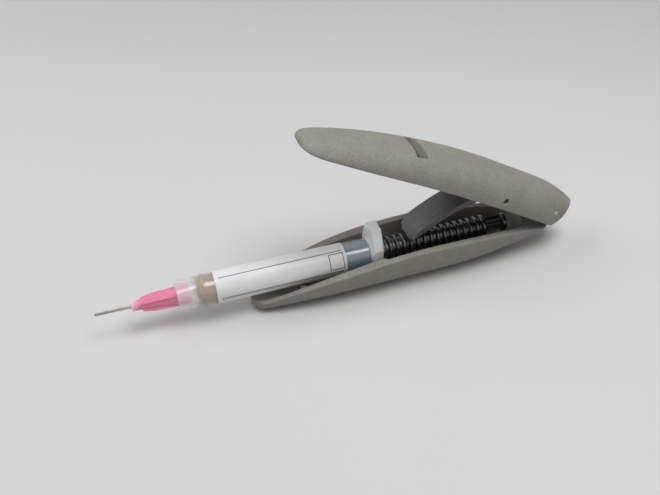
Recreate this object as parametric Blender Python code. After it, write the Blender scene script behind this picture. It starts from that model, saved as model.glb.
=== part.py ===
"""Solder paste syringe in a squeeze-lever holder, built as separate pieces in metres, +Z up.

The belly's flat face lies on z = 0. The syringe axis runs along X at AXIS_HEIGHT, with the needle
towards -X and the hinge at the tail, towards +X. Places along the syringe are measured from the
front face of the barrel's flange, heights from the syringe axis. The lever has its own frame, with
its origin on the hinge axis and -X towards its tip, and the pawl has one on its pivot.
"""
import math

import bmesh
import bpy
from mathutils import Matrix, Vector

MM = 0.001

# Where the syringe axis lies in the part's frame
FLANGE_X = -14.0 * MM
AXIS_HEIGHT = 12.3 * MM

# Clearances
SEAT_GAP = 0.3 * MM
RUNNING_GAP = 0.3 * MM
PIN_GAP = 0.08 * MM
LABEL_GAP = 0.1 * MM
FLANGE_GAP = 0.3 * MM

# Barrel
BARREL_RADIUS = 5.6 * MM
BARREL_WALL = 0.75 * MM
BARREL_LENGTH = 71.3 * MM
COLLAR_RADIUS = 5.48 * MM
COLLAR_WALL = 1.2 * MM
COLLAR_LENGTH = 7.0 * MM
COLLAR_DEPTH = 6.0 * MM
SHOULDER_RIDGE = 0.2 * MM
RIDGE_WIDTH = 0.9 * MM
RIDGE_SETBACK = 9.8 * MM
BORE_CONE = 1.3 * MM
END_WALL = 0.9 * MM
LUER_RADIUS = 1.95 * MM
LUER_TAPER = 0.03
LUER_PROUD = 0.7 * MM
NOZZLE_RADIUS = 1.0 * MM

# Flange: an octagon with one wing up and one down
FLANGE_THICKNESS = 3.6 * MM
WING_HEIGHT = 12.1 * MM
WING_TOP = 3.0 * MM
FLANGE_HALF_WIDTH = 6.3 * MM
FLANGE_SHOULDER = 4.7 * MM

# Label
LABEL_FRONT = -57.9 * MM
LABEL_REAR = -10.0 * MM
LABEL_THICKNESS = 0.15 * MM

# Dispensing tip
HUB_INSERT = 4.6 * MM
HUB_LENGTH = 15.5 * MM
HUB_NOSE_RADIUS = 1.75 * MM
HUB_NOSE_LENGTH = 2.6 * MM
HUB_FRONT_RADIUS = 2.0 * MM
HUB_REAR_RADIUS = 2.9 * MM
HUB_STEP = 0.8 * MM
HUB_LUG_LENGTH = 1.0 * MM
FIN_REACH = 0.6 * MM
FIN_FRONT_REACH = 0.5 * MM
FIN_STEP = 7.4 * MM
FIN_THICKNESS = 1.1 * MM
FIN_TURN = math.radians(41.0)
NEEDLE_RADIUS = 0.455 * MM
NEEDLE_BORE = 0.3 * MM
NEEDLE_REACH = 12.5 * MM
NEEDLE_ROOT = 6.5 * MM

# Piston and paste
PISTON_FRONT = -20.5 * MM
PISTON_LENGTH = 8.0 * MM
PISTON_WAIST = 0.7 * MM
PISTON_LIP = 1.6 * MM

# Plunger rod
RIB_RADIUS = 4.55 * MM
ROOT_RADIUS = 3.45 * MM
RIB_PITCH = 2.74 * MM
RIB_CREST = 0.65 * MM
RIB_FOOT = 1.1 * MM
RIBS_AHEAD = 8
RIBS_BEHIND = 12
NECK_RADIUS = 2.3 * MM
NECK_LENGTH = 4.2 * MM
DISC_RADIUS = 3.4 * MM
DISC_THICKNESS = 1.6 * MM

# Hinge and lever pose
HINGE_X = 73.4 * MM
HINGE_Z = 5.7 * MM
LEVER_OPEN = math.radians(29.4)
LEVER_TRAVEL = math.radians(25.0)
HINGE_PIN_RADIUS = 1.0 * MM
HINGE_PIN_LENGTH = 15.6 * MM

# Lower shell: outline in plan, arched rim and belly
SHELL_FRONT = -45.5 * MM
SHELL_TAIL = 74.5 * MM
SHELL_HALF_WIDTH = 12.3 * MM
FRONT_FLANK_START = 0.0 * MM
FRONT_FLANK_RADIUS = 165.0 * MM
TAIL_FLANK_START = 25.0 * MM
TAIL_FLANK_RADIUS = 240.0 * MM
FRONT_ROUND = 5.0 * MM
TAIL_ROUND = 5.5 * MM
RIM_PEAK_X = 25.0 * MM
RIM_PEAK_Z = 4.35 * MM
RIM_ARCH_RADIUS = 200.0 * MM
BELLY_CROWN = 0.6 * MM
BELLY_RISE_START = 28.0 * MM
BELLY_RISE_RADIUS = 112.0 * MM
TAIL_DEPTH = 0.8 * MM
BOW_ROUND = 1.4 * MM
TROUGH_WALL = 2.7 * MM
TROUGH_FRONT_WALL = 3.8 * MM
LIP_WALL = 1.3 * MM
FLOOR_WALL = 2.4 * MM
TROUGH_TAIL = 63.0 * MM
TROUGH_TAIL_ROUND = 6.0 * MM

# Bulkheads across the trough
SADDLE_X = -28.0 * MM
SADDLE_THICKNESS = 2.6 * MM
SADDLE_DROP = 0.7 * MM
KEEPER_WALL = 2.9 * MM
KEEPER_TOP = -2.2 * MM

# Hinge ears on the shell's tail
EAR_THICKNESS = 2.0 * MM
EAR_RADIUS = 2.6 * MM
EAR_FOOT_FRONT = 65.5 * MM
EAR_FOOT_REAR = 72.4 * MM
EAR_SINK = 2.0 * MM

# Lever, in its own frame
LEVER_TIP = -109.5 * MM
LEVER_TAIL = 11.6 * MM
LEVER_HALF_WIDTH = 12.3 * MM
LEVER_FULLNESS = 2.5
LEVER_FRONT_FLANK_START = -73.0 * MM
LEVER_TAIL_FLANK_START = -48.0 * MM
LEVER_TAIL_FLANK_RADIUS = 370.0 * MM
LEVER_TIP_ROUND = 9.5 * MM
LEVER_TIP_FULLNESS = 3.0
LEVER_TAIL_ROUND = 9.5 * MM
CROWN_HEIGHT = 7.4 * MM
CROWN_FRONT_START = -31.0 * MM
CROWN_FRONT_RADIUS = 252.0 * MM
CROWN_TAIL_START = -8.0 * MM
CROWN_TAIL_RADIUS = 60.0 * MM
LEVER_RIM_X = -46.0 * MM
LEVER_RIM_Z = -3.6 * MM
LEVER_RIM_RADIUS = 560.0 * MM
STOP_FLAT_X = 2.2 * MM
LEVER_WALL = 2.7 * MM
CROWN_WALL = 2.4 * MM
LEVER_TIP_WALL = 3.4 * MM
LEVER_CAVITY_TAIL = 4.6 * MM
HINGE_POCKET_FRONT = -6.0 * MM

# Slot across the lever's crown
SLOT_X = -67.9 * MM
SLOT_WIDTH = 4.5 * MM
SLOT_HALF_LENGTH = 7.0 * MM
SLOT_LIP = 1.6 * MM
SLOT_LIP_DEPTH = 3.4 * MM

# Pawl: pivot in the lever's frame, profile in its own frame with -X towards the tooth
PIVOT_X = -28.4 * MM
PIVOT_Z = -0.6 * MM
PAWL_REACH = 36.4 * MM
PAWL_HALF_WIDTH = 5.8 * MM
PAWL_THICKNESS = 2.3 * MM
PAWL_BOSS_RADIUS = 2.1 * MM
PAWL_NOSE_BACK = 4.4 * MM
PAWL_NOSE_HEIGHT = 4.3 * MM
PAWL_ARCH = 3.4 * MM
TOOTH_HEIGHT = 1.3 * MM
TOOTH_TIP = 0.4 * MM
TOOTH_ROOT = 0.7 * MM
TOOTH_DEPTH = 0.75 * MM
TOOTH_LAG = 0.3 * MM
TOOTH_HALF_WIDTH = 4.0 * MM
PAWL_PIN_RADIUS = 1.0 * MM
PAWL_PIN_LENGTH = 19.6 * MM
PAWL_BOSS_SEAT = 1.9 * MM

# Springs
RETURN_WIRE = 0.5 * MM
RETURN_TURNS = 3.5
RETURN_PITCH = 0.95 * MM
RETURN_COIL_RADIUS = 1.75 * MM
RETURN_LEVER_LEG = 9.0 * MM
PAWL_WIRE = 0.4 * MM
PAWL_TURNS = 2.5
PAWL_PITCH = 0.85 * MM
PAWL_COIL_RADIUS = 1.6 * MM
PAWL_SPRING_LEG = 7.0 * MM
PAWL_LEG_REST = 0.6 * MM
POINTS_PER_TURN = 10

# Facet counts
ROUND_STEPS = 32
SMALL_STEPS = 20
SECTION_STEPS = 20
BODY_STATIONS = 20
END_STATIONS = 5
END_SWEEP = math.radians(80.0)
SMOOTH_ANGLE = math.radians(35.0)

# What follows from the sizes above
BORE_RADIUS = BARREL_RADIUS - BARREL_WALL
BORE_FRONT = -BARREL_LENGTH + COLLAR_DEPTH + END_WALL
BORE_SHOULDER = BORE_FRONT + BORE_CONE
BELLY_Z = -AXIS_HEIGHT
LABEL_RADIUS = BARREL_RADIUS + LABEL_GAP + LABEL_THICKNESS
PISTON_REAR = PISTON_FRONT + PISTON_LENGTH
GROOVE_WIDTH = RIB_PITCH - RIB_CREST
KEEPER_FRONT = -FLANGE_GAP - KEEPER_WALL
KEEPER_REAR = FLANGE_THICKNESS + FLANGE_GAP + KEEPER_WALL
TOOTH_Z = RIB_RADIUS - TOOTH_DEPTH
EAR_INNER = (RETURN_PITCH * RETURN_TURNS + RETURN_WIRE) / 2.0 + RUNNING_GAP
PAWL_GAP_HALF_WIDTH = (PAWL_PITCH * PAWL_TURNS + PAWL_WIRE) / 2.0 + RUNNING_GAP


def lever_point(x, z, closing=0.0):
    """World place, from the syringe axis, of a point given in the lever's frame."""
    angle = LEVER_OPEN - closing
    return (HINGE_X + x * math.cos(angle) + z * math.sin(angle),
            HINGE_Z - x * math.sin(angle) + z * math.cos(angle))


def pawl_pitch(closing=0.0):
    """Angle of the pawl about +Y, and the place of its tooth along the axis."""
    pivot_x, pivot_z = lever_point(PIVOT_X, PIVOT_Z, closing)
    slope = math.asin((pivot_z - TOOTH_Z) / PAWL_REACH)
    return -slope, pivot_x - PAWL_REACH * math.cos(slope)


PAWL_ANGLE, TOOTH_X = pawl_pitch()
PAWL_ANGLE_CLOSED, TOOTH_X_CLOSED = pawl_pitch(LEVER_TRAVEL)
STROKE = TOOTH_X - TOOTH_X_CLOSED


def clear_scene():
    """Remove every object that the file holds."""
    for obj in list(bpy.data.objects):
        bpy.data.objects.remove(obj, do_unlink=True)


def finish(name, colour, roughness, metallic=0.0):
    """A plain material of one colour."""
    material = bpy.data.materials.new(name)
    material.use_nodes = True
    shader = material.node_tree.nodes["Principled BSDF"]
    shader.inputs["Base Color"].default_value = (*colour, 1.0)
    shader.inputs["Roughness"].default_value = roughness
    shader.inputs["Metallic"].default_value = metallic
    return material


def axis_empty(name, parent, place=(0.0, 0.0, 0.0), pitch=0.0):
    """An empty on an axis, turned about Y."""
    empty = bpy.data.objects.new(name, None)
    bpy.context.collection.objects.link(empty)
    empty.parent = parent
    empty.location = place
    empty.rotation_euler = (0.0, pitch, 0.0)
    return empty


def add_mesh(name, bm, parent, material=None):
    """Turn a bmesh into an object with smooth rounds and outward faces."""
    bmesh.ops.recalc_face_normals(bm, faces=bm.faces)
    mesh = bpy.data.meshes.new(name)
    bm.to_mesh(mesh)
    bm.free()
    mesh.shade_smooth()
    mesh.set_sharp_from_angle(angle=SMOOTH_ANGLE)
    obj = bpy.data.objects.new(name, mesh)
    bpy.context.collection.objects.link(obj)
    obj.parent = parent
    if material:
        mesh.materials.append(material)
    return obj


def skin(loops, ring=False):
    """A closed skin over loops of equal length, capped at both ends or joined into a ring."""
    bm = bmesh.new()
    rows = [[bm.verts.new(point) for point in loop] for loop in loops]
    pairs = list(zip(rows, rows[1:]))
    if ring:
        pairs.append((rows[-1], rows[0]))
    for low, high in pairs:
        for i in range(len(low)):
            j = (i + 1) % len(low)
            bm.faces.new((low[i], low[j], high[j], high[i]))
    if not ring:
        bm.faces.new(rows[0])
        bm.faces.new(reversed(rows[-1]))
    return bm


def circle(x, radius, steps):
    """Points round the X axis."""
    turns = [2.0 * math.pi * k / steps for k in range(steps)]
    return [Vector((x, radius * math.sin(a), radius * math.cos(a))) for a in turns]


def turned(profile, steps):
    """A solid turned about the X axis from (x, radius) points."""
    return skin([circle(x, radius, steps) for x, radius in profile])


def turned_tube(profile, steps):
    """A hollow piece turned about the X axis from a closed (x, radius) profile."""
    turns = [2.0 * math.pi * k / steps for k in range(steps)]
    loops = [[Vector((x, r * math.sin(a), r * math.cos(a))) for x, r in profile] for a in turns]
    return skin(loops, ring=True)


def plate(outline, low, high):
    """A plate in the YZ plane between two places along X."""
    return skin([[Vector((x, y, z)) for y, z in outline] for x in (low, high)])


def slab(outline, half_width, centre=0.0):
    """A plate in the XZ plane, centred on Y."""
    sides = (centre - half_width, centre + half_width)
    return skin([[Vector((x, y, z)) for x, z in outline] for y in sides])


def block(low, high):
    """A box between two corners."""
    outline = ((low[1], low[2]), (high[1], low[2]), (high[1], high[2]), (low[1], high[2]))
    return plate(outline, low[0], high[0])


def cross_pin(radius, length, x=0.0, z=0.0, centre=0.0):
    """A round bar along Y."""
    turns = [2.0 * math.pi * k / SMALL_STEPS for k in range(SMALL_STEPS)]
    outline = [(x + radius * math.cos(a), z + radius * math.sin(a)) for a in turns]
    return slab(outline, length / 2.0, centre)


def shape(target, operation, bm):
    """Cut a tool from an object, or join it on, with a Boolean that stays live."""
    name = f"{target.name}_{operation.lower()}_{len(target.modifiers)}"
    tool = add_mesh(name, bm, target.parent)
    tool.hide_render = True
    tool.display_type = "WIRE"
    modifier = target.modifiers.new(name, "BOOLEAN")
    modifier.operation = operation
    modifier.solver = "EXACT"
    modifier.object = tool


def cut(target, bm):
    """Cut a tool from an object."""
    shape(target, "DIFFERENCE", bm)


def join(target, bm):
    """Join a tool onto an object."""
    shape(target, "UNION", bm)


def sagitta(offset, radius):
    """How far an arc falls away from its tangent."""
    return radius - math.sqrt(max(radius * radius - offset * offset, 0.0))


def end_factor(x, front, front_round, tail, tail_round, fullness=2.0):
    """Share of the full width left by the rounded ends, the front one squarer above fullness 2."""
    ahead = max(0.0, (front + front_round - x) / front_round)
    behind = max(0.0, (x - tail + tail_round) / tail_round)
    nose = max(0.0, 1.0 - ahead ** fullness) ** (1.0 / fullness)
    return nose * math.sqrt(max(0.0, 1.0 - behind * behind))


def stations(front, front_round, tail, tail_round):
    """Places along X, closer together round the two ends."""
    turns = [END_SWEEP * (1.0 - k / END_STATIONS) for k in range(END_STATIONS)]
    low = front + front_round
    high = tail - tail_round
    nose = [low - front_round * math.sin(a) for a in turns]
    middle = [low + (high - low) * k / BODY_STATIONS for k in range(BODY_STATIONS + 1)]
    end = [high + tail_round * math.sin(a) for a in reversed(turns)]
    return nose + middle + end


def half_oval(width, base, bulge, fullness=2.0):
    """Points of a half oval from -width to +width, bulging from its base: an ellipse at fullness 2."""
    power = 2.0 / fullness
    points = [(-width, base)]
    for k in range(1, SECTION_STEPS):
        across = math.cos(math.pi * k / SECTION_STEPS)
        along = math.sin(math.pi * k / SECTION_STEPS)
        points.append((-width * math.copysign(abs(across) ** power, across), base + bulge * along ** power))
    return [*points, (width, base)]


def section(x, points):
    """A section's points at a place along X."""
    return [Vector((x, y, z)) for y, z in points]


# Lower shell

def shell_flank(x):
    """Half width of the shell in plan, before its ends are rounded."""
    ahead = max(0.0, FRONT_FLANK_START - x)
    behind = max(0.0, x - TAIL_FLANK_START)
    return SHELL_HALF_WIDTH - sagitta(ahead, FRONT_FLANK_RADIUS) - sagitta(behind, TAIL_FLANK_RADIUS)


def shell_width(x):
    """Half width of the shell's rim."""
    return shell_flank(x) * end_factor(x, SHELL_FRONT, FRONT_ROUND, SHELL_TAIL, TAIL_ROUND)


def rim_height(x):
    """Height of the shell's arched rim."""
    return RIM_PEAK_Z - sagitta(x - RIM_PEAK_X, RIM_ARCH_RADIUS)


def belly_height(x):
    """Lowest point of the shell's oval section, before the flat is taken off."""
    rise = sagitta(max(0.0, x - BELLY_RISE_START), BELLY_RISE_RADIUS)
    ahead = max(0.0, (SHELL_FRONT + FRONT_ROUND - x) / FRONT_ROUND)
    bow = BOW_ROUND * (1.0 - math.sqrt(max(0.0, 1.0 - ahead * ahead)))
    return min(BELLY_Z - BELLY_CROWN + rise + bow, rim_height(x) - TAIL_DEPTH)


def trough_wall(x):
    """Wall of the trough at the rim: thin at the lip, thick beside the barrel, then even."""
    if x > FLANGE_THICKNESS:
        return TROUGH_WALL
    share = (x - SHELL_FRONT) / (KEEPER_FRONT - SHELL_FRONT)
    return LIP_WALL + (TROUGH_FRONT_WALL - LIP_WALL) * min(1.0, max(0.0, share))


def hull_section(x, inset=0.0, top=None):
    """The shell's outer section, drawn in by an inset, with a flat belly."""
    rim = rim_height(x) if top is None else top
    low = belly_height(x) + inset
    points = half_oval(max(shell_width(x) - inset, inset / 4.0), rim, low - rim)
    return section(x, [(y, max(z, BELLY_Z + inset)) for y, z in points])


def trough_section(x):
    """The trough's section, carried straight up past the rim."""
    rim = rim_height(x)
    low = belly_height(x) + BELLY_CROWN + FLOOR_WALL
    front = SHELL_FRONT + LIP_WALL
    width = (shell_flank(x) - trough_wall(x)) * end_factor(
        x, front, FRONT_ROUND, TROUGH_TAIL, TROUGH_TAIL_ROUND)
    points = half_oval(width, rim, low - rim)
    above = rim + SHELL_HALF_WIDTH
    return section(x, [(-width, above), *points, (width, above)])


def saddle(radius, low, high):
    """A U-shaped channel round the syringe axis, open upwards."""
    above = SHELL_HALF_WIDTH
    return plate([(-radius, above), *half_oval(radius, 0.0, -radius), (radius, above)], low, high)


def flange_outline(grow=0.0):
    """The flange's octagon, grown all round by a clearance."""
    quarter = [(FLANGE_HALF_WIDTH + grow, FLANGE_SHOULDER), (WING_TOP + grow, WING_HEIGHT + grow)]
    side = [(y, -z) for y, z in reversed(quarter)] + quarter
    return side + [(-y, z) for y, z in reversed(side)]


def build_lower_shell(root, material):
    """The trough: hull, hollow, bulkheads, the flange's pocket and slot, hinge ears and their bore."""
    hull = stations(SHELL_FRONT, FRONT_ROUND, SHELL_TAIL, TAIL_ROUND)
    shell = add_mesh("lower_shell", skin([hull_section(x) for x in hull]), root, material)
    hollow = stations(SHELL_FRONT + LIP_WALL, FRONT_ROUND, TROUGH_TAIL, TROUGH_TAIL_ROUND)
    cut(shell, skin([trough_section(x) for x in hollow]))
    rest = (SADDLE_X, SADDLE_X + SADDLE_THICKNESS)
    inset = FLOOR_WALL / 2.0
    saddle_top = rim_height(SADDLE_X) - SADDLE_DROP
    join(shell, skin([hull_section(x, inset, saddle_top) for x in rest]))
    join(shell, skin([hull_section(x, inset, KEEPER_TOP) for x in (KEEPER_FRONT, KEEPER_REAR)]))
    label_bed = saddle(LABEL_RADIUS + SEAT_GAP, rest[0] - SADDLE_THICKNESS, rest[1] + SADDLE_THICKNESS)
    barrel_bed = saddle(BARREL_RADIUS + SEAT_GAP, KEEPER_FRONT - KEEPER_WALL, FLANGE_THICKNESS / 2.0)
    rod_bed = saddle(RIB_RADIUS + RUNNING_GAP, 0.0, KEEPER_REAR + KEEPER_WALL)
    pocket = (-FLANGE_GAP, FLANGE_THICKNESS + FLANGE_GAP)
    flange_bed = plate(flange_outline(FLANGE_GAP), *pocket)
    wing_slot = block((pocket[0], -WING_TOP - FLANGE_GAP, 2.0 * BELLY_Z),
                      (pocket[1], WING_TOP + FLANGE_GAP, -FLANGE_SHOULDER))
    for bed in (label_bed, barrel_bed, rod_bed, flange_bed, wing_slot):
        cut(shell, bed)
    for side in (-1.0, 1.0):
        join(shell, slab(ear_outline(), EAR_THICKNESS / 2.0, side * (EAR_INNER + EAR_THICKNESS / 2.0)))
    bore = HINGE_PIN_RADIUS + PIN_GAP
    cut(shell, cross_pin(bore, 2.0 * SHELL_HALF_WIDTH, HINGE_X, HINGE_Z))
    return shell


def ear_outline():
    """A hinge ear: a round eye on a foot that is sunk into the tail."""
    start = math.radians(-20.0)
    sweep = math.radians(215.0)
    turns = [start + sweep * k / SMALL_STEPS for k in range(SMALL_STEPS + 1)]
    eye = [(HINGE_X + EAR_RADIUS * math.cos(a), HINGE_Z + EAR_RADIUS * math.sin(a)) for a in turns]
    front = (EAR_FOOT_FRONT, rim_height(EAR_FOOT_FRONT) - EAR_SINK)
    rear = (EAR_FOOT_REAR, rim_height(EAR_FOOT_REAR) - EAR_SINK)
    return [*eye, front, rear]


# Lever outline

def lever_flank(x):
    """Half width of the lever in plan, before its ends are rounded."""
    ahead = max(0.0, LEVER_FRONT_FLANK_START - x)
    behind = max(0.0, x - LEVER_TAIL_FLANK_START)
    return (LEVER_HALF_WIDTH - sagitta(ahead, FRONT_FLANK_RADIUS)
            - sagitta(behind, LEVER_TAIL_FLANK_RADIUS))


def lever_width(x):
    """Half width of the lever's rim."""
    return lever_flank(x) * end_factor(
        x, LEVER_TIP, LEVER_TIP_ROUND, LEVER_TAIL, LEVER_TAIL_ROUND, LEVER_TIP_FULLNESS)


def crown_height(x):
    """Height of the lever's crown."""
    fall = sagitta(max(0.0, CROWN_FRONT_START - x), CROWN_FRONT_RADIUS)
    drop = sagitta(max(0.0, x - CROWN_TAIL_START), CROWN_TAIL_RADIUS)
    return CROWN_HEIGHT - fall - drop


def lever_rim(x):
    """Height of the lever's rim: a shallow arch, then the flat that lies level when it is open."""
    arch = LEVER_RIM_Z - sagitta(x - LEVER_RIM_X, LEVER_RIM_RADIUS)
    if x <= STOP_FLAT_X:
        return arch
    start = LEVER_RIM_Z - sagitta(STOP_FLAT_X - LEVER_RIM_X, LEVER_RIM_RADIUS)
    return start + (x - STOP_FLAT_X) * math.tan(LEVER_OPEN)


def lever_section(x):
    """The lever's outer section."""
    rim = lever_rim(x)
    return section(x, half_oval(lever_width(x), rim, crown_height(x) - rim, LEVER_FULLNESS))


def lever_hollow(x):
    """The lever's hollow, carried straight down past its rim."""
    rim = lever_rim(x)
    ceiling = crown_height(x) - CROWN_WALL
    width = (lever_flank(x) - LEVER_WALL) * end_factor(
        x, LEVER_TIP + LEVER_TIP_WALL, LEVER_TIP_ROUND, LEVER_CAVITY_TAIL, LEVER_TAIL_ROUND,
        LEVER_TIP_FULLNESS)
    points = half_oval(width, rim, max(ceiling - rim, LEVER_WALL / 2.0), LEVER_FULLNESS)
    below = rim - LEVER_HALF_WIDTH
    return section(x, [(-width, below), *points, (width, below)])


def build_upper_lever(hinge, material):
    """The lever: tongue-shaped crown, hollow, hinge pocket, pawl seat, lipped slot and pin holes."""
    body = stations(LEVER_TIP, LEVER_TIP_ROUND, LEVER_TAIL, LEVER_TAIL_ROUND)
    lever = add_mesh("upper_lever", skin([lever_section(x) for x in body]), hinge, material)
    hollow = stations(LEVER_TIP + LEVER_TIP_WALL, LEVER_TIP_ROUND, LEVER_CAVITY_TAIL, LEVER_TAIL_ROUND)
    cut(lever, skin([lever_hollow(x) for x in hollow]))
    pocket = EAR_INNER + EAR_THICKNESS + RUNNING_GAP
    cut(lever, block((HINGE_POCKET_FRONT, -pocket, -2.0 * LEVER_HALF_WIDTH),
                     (LEVER_CAVITY_TAIL, pocket, EAR_RADIUS + 2.0 * RUNNING_GAP)))
    seat_inner = PAWL_HALF_WIDTH + RUNNING_GAP
    seat_outer = lever_flank(PIVOT_X) - LEVER_WALL
    for side in (-0.5, 0.5):
        join(lever, cross_pin(PAWL_BOSS_SEAT, seat_outer - seat_inner, PIVOT_X, PIVOT_Z,
                              side * (seat_inner + seat_outer)))
    slot_rear = SLOT_X + SLOT_WIDTH / 2.0
    lip_crown = crown_height(slot_rear)
    lip_length = SLOT_HALF_LENGTH + SLOT_LIP / 2.0
    join(lever, block((SLOT_X, -lip_length, lip_crown - SLOT_LIP_DEPTH),
                      (slot_rear + SLOT_LIP, lip_length, lip_crown - CROWN_WALL + SEAT_GAP)))
    cut(lever, block((SLOT_X - SLOT_WIDTH / 2.0, -SLOT_HALF_LENGTH, LEVER_RIM_Z),
                     (slot_rear, SLOT_HALF_LENGTH, 2.0 * CROWN_HEIGHT)))
    cut(lever, cross_pin(HINGE_PIN_RADIUS + PIN_GAP, 2.0 * LEVER_HALF_WIDTH))
    cut(lever, cross_pin(PAWL_PIN_RADIUS + PIN_GAP, 3.0 * LEVER_HALF_WIDTH, PIVOT_X, PIVOT_Z))
    return lever


# Pawl

def pawl_top(share):
    """A point of the pawl's arched top edge, from the nose (0) to the pivot (1)."""
    x = -(PAWL_REACH - PAWL_NOSE_BACK) * (1.0 - share)
    straight = PAWL_NOSE_HEIGHT + (PAWL_BOSS_RADIUS - PAWL_NOSE_HEIGHT) * share
    return x, straight + PAWL_ARCH * math.sin(math.pi * share)


def pawl_outline():
    """The pawl's side: arched strip, hooked nose and the tooth that sits in a groove."""
    count = SMALL_STEPS // 2
    shares = [k / count for k in range(count + 1)]
    top = [pawl_top(s) for s in shares[:-1]]
    under = [(x, z - PAWL_THICKNESS) for x, z in top[1:]]
    tip = -PAWL_REACH
    tooth_front = (tip - TOOTH_TIP / 2.0, 0.0)
    tooth_rear = (tip + TOOTH_TIP / 2.0, 0.0)
    nose_front = (tip, TOOTH_HEIGHT)
    nose_rear = (tip + TOOTH_ROOT, TOOTH_HEIGHT)
    turns = [math.pi * (0.5 - k / count) for k in range(count + 1)]
    eye = [(PAWL_BOSS_RADIUS * math.cos(a), PAWL_BOSS_RADIUS * math.sin(a)) for a in turns]
    return [nose_front, *top, *eye, *reversed(under), nose_rear, tooth_rear, tooth_front]


def build_drive_pawl(pivot, material):
    """The pawl with its pivot hole, the gap between its knuckles and a tooth as wide as the rod."""
    pawl = add_mesh("drive_pawl", slab(pawl_outline(), PAWL_HALF_WIDTH), pivot, material)
    front = -PAWL_SPRING_LEG + PAWL_LEG_REST
    tall = 2.0 * PAWL_NOSE_HEIGHT
    cut(pawl, block((front, -PAWL_GAP_HALF_WIDTH, -tall), (tall, PAWL_GAP_HALF_WIDTH, tall)))
    for side in (-1.0, 1.0):
        sides = sorted((side * TOOTH_HALF_WIDTH, side * 2.0 * PAWL_HALF_WIDTH))
        cut(pawl, block((-PAWL_REACH - tall, sides[0], -tall),
                        (-PAWL_REACH + PAWL_NOSE_BACK / 2.0, sides[1], TOOTH_HEIGHT + SEAT_GAP)))
    cut(pawl, cross_pin(PAWL_PIN_RADIUS + PIN_GAP, 4.0 * PAWL_HALF_WIDTH))
    return pawl


# Syringe

def build_barrel(root, material):
    """The barrel: luer tip and collar, shoulder ridge, wall and winged flange."""
    front = -BARREL_LENGTH
    collar_rear = front + COLLAR_LENGTH
    ridge = front + RIDGE_SETBACK
    recess = front + COLLAR_DEPTH
    luer_root = LUER_RADIUS + LUER_TAPER * (COLLAR_DEPTH + LUER_PROUD)
    ridge_radius = BARREL_RADIUS + SHOULDER_RIDGE
    profile = [
        (front, COLLAR_RADIUS),
        (collar_rear, COLLAR_RADIUS),
        (ridge - RIDGE_WIDTH, BARREL_RADIUS),
        (ridge - RIDGE_WIDTH / 2.0, ridge_radius),
        (ridge, ridge_radius),
        (ridge + RIDGE_WIDTH / 2.0, BARREL_RADIUS),
        (FLANGE_THICKNESS, BARREL_RADIUS),
        (FLANGE_THICKNESS, BORE_RADIUS),
        (BORE_SHOULDER, BORE_RADIUS),
        (BORE_FRONT, NOZZLE_RADIUS),
        (front - LUER_PROUD, NOZZLE_RADIUS),
        (front - LUER_PROUD, LUER_RADIUS),
        (recess, luer_root),
        (recess, COLLAR_RADIUS - COLLAR_WALL),
        (front, COLLAR_RADIUS - COLLAR_WALL),
    ]
    barrel = add_mesh("syringe_barrel", turned_tube(profile, ROUND_STEPS), root, material)
    flange = plate(flange_outline(), 0.0, FLANGE_THICKNESS)
    join(barrel, flange)
    bore = [(ridge + BARREL_WALL, BORE_RADIUS), (2.0 * FLANGE_THICKNESS, BORE_RADIUS)]
    cut(barrel, turned(bore, ROUND_STEPS))
    return barrel


def build_label(root, material):
    """The wrap label, a thin sleeve round the barrel."""
    inner = BARREL_RADIUS + LABEL_GAP
    profile = [
        (LABEL_FRONT, LABEL_RADIUS),
        (LABEL_REAR, LABEL_RADIUS),
        (LABEL_REAR, inner),
        (LABEL_FRONT, inner),
    ]
    return add_mesh("barrel_label", turned_tube(profile, ROUND_STEPS), root, material)


def build_paste(root, material):
    """The paste between the shoulder and the piston."""
    radius = BORE_RADIUS - RUNNING_GAP / 2.0
    slope = (BORE_RADIUS - NOZZLE_RADIUS) / BORE_CONE
    nose = BORE_SHOULDER - BORE_CONE / 2.0 + RUNNING_GAP
    profile = [
        (nose, radius - slope * BORE_CONE / 2.0),
        (BORE_SHOULDER + RUNNING_GAP, radius),
        (PISTON_FRONT - RUNNING_GAP, radius),
    ]
    return add_mesh("solder_paste", turned(profile, ROUND_STEPS), root, material)


def build_piston(slide, material):
    """The wiper piston: flat front, two lips and a waist."""
    lip = BORE_RADIUS - RUNNING_GAP / 2.0
    waist = lip - PISTON_WAIST
    profile = [
        (PISTON_FRONT, lip),
        (PISTON_FRONT + PISTON_LIP, lip),
        (PISTON_FRONT + PISTON_LIP + PISTON_WAIST, waist),
        (PISTON_REAR - PISTON_LIP - PISTON_WAIST, waist),
        (PISTON_REAR - PISTON_LIP, lip),
        (PISTON_REAR, lip),
    ]
    return add_mesh("piston_seal", turned(profile, ROUND_STEPS), slide, material)


def build_rod(slide, material):
    """The rod: ring ribs set so that the pawl's tooth sits in a groove, a neck and an end disc."""
    groove = TOOTH_X - GROOVE_WIDTH / 2.0 + TOOTH_TIP / 2.0 + TOOTH_LAG
    crest = RIB_CREST / 2.0
    foot = RIB_FOOT / 2.0
    front = PISTON_REAR + RUNNING_GAP
    profile = [(front, ROOT_RADIUS)]
    for k in range(-RIBS_AHEAD, RIBS_BEHIND + 1):
        middle = groove + (k + 0.5) * RIB_PITCH
        profile += [
            (middle - foot, ROOT_RADIUS),
            (middle - crest, RIB_RADIUS),
            (middle + crest, RIB_RADIUS),
            (middle + foot, ROOT_RADIUS),
        ]
    last = profile[-1][0]
    neck = last + NECK_LENGTH
    profile += [
        (last + foot, NECK_RADIUS),
        (neck, NECK_RADIUS),
        (neck, DISC_RADIUS),
        (neck + DISC_THICKNESS, DISC_RADIUS),
    ]
    return add_mesh("plunger_rod", turned(profile, SMALL_STEPS), slide, material)


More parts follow.
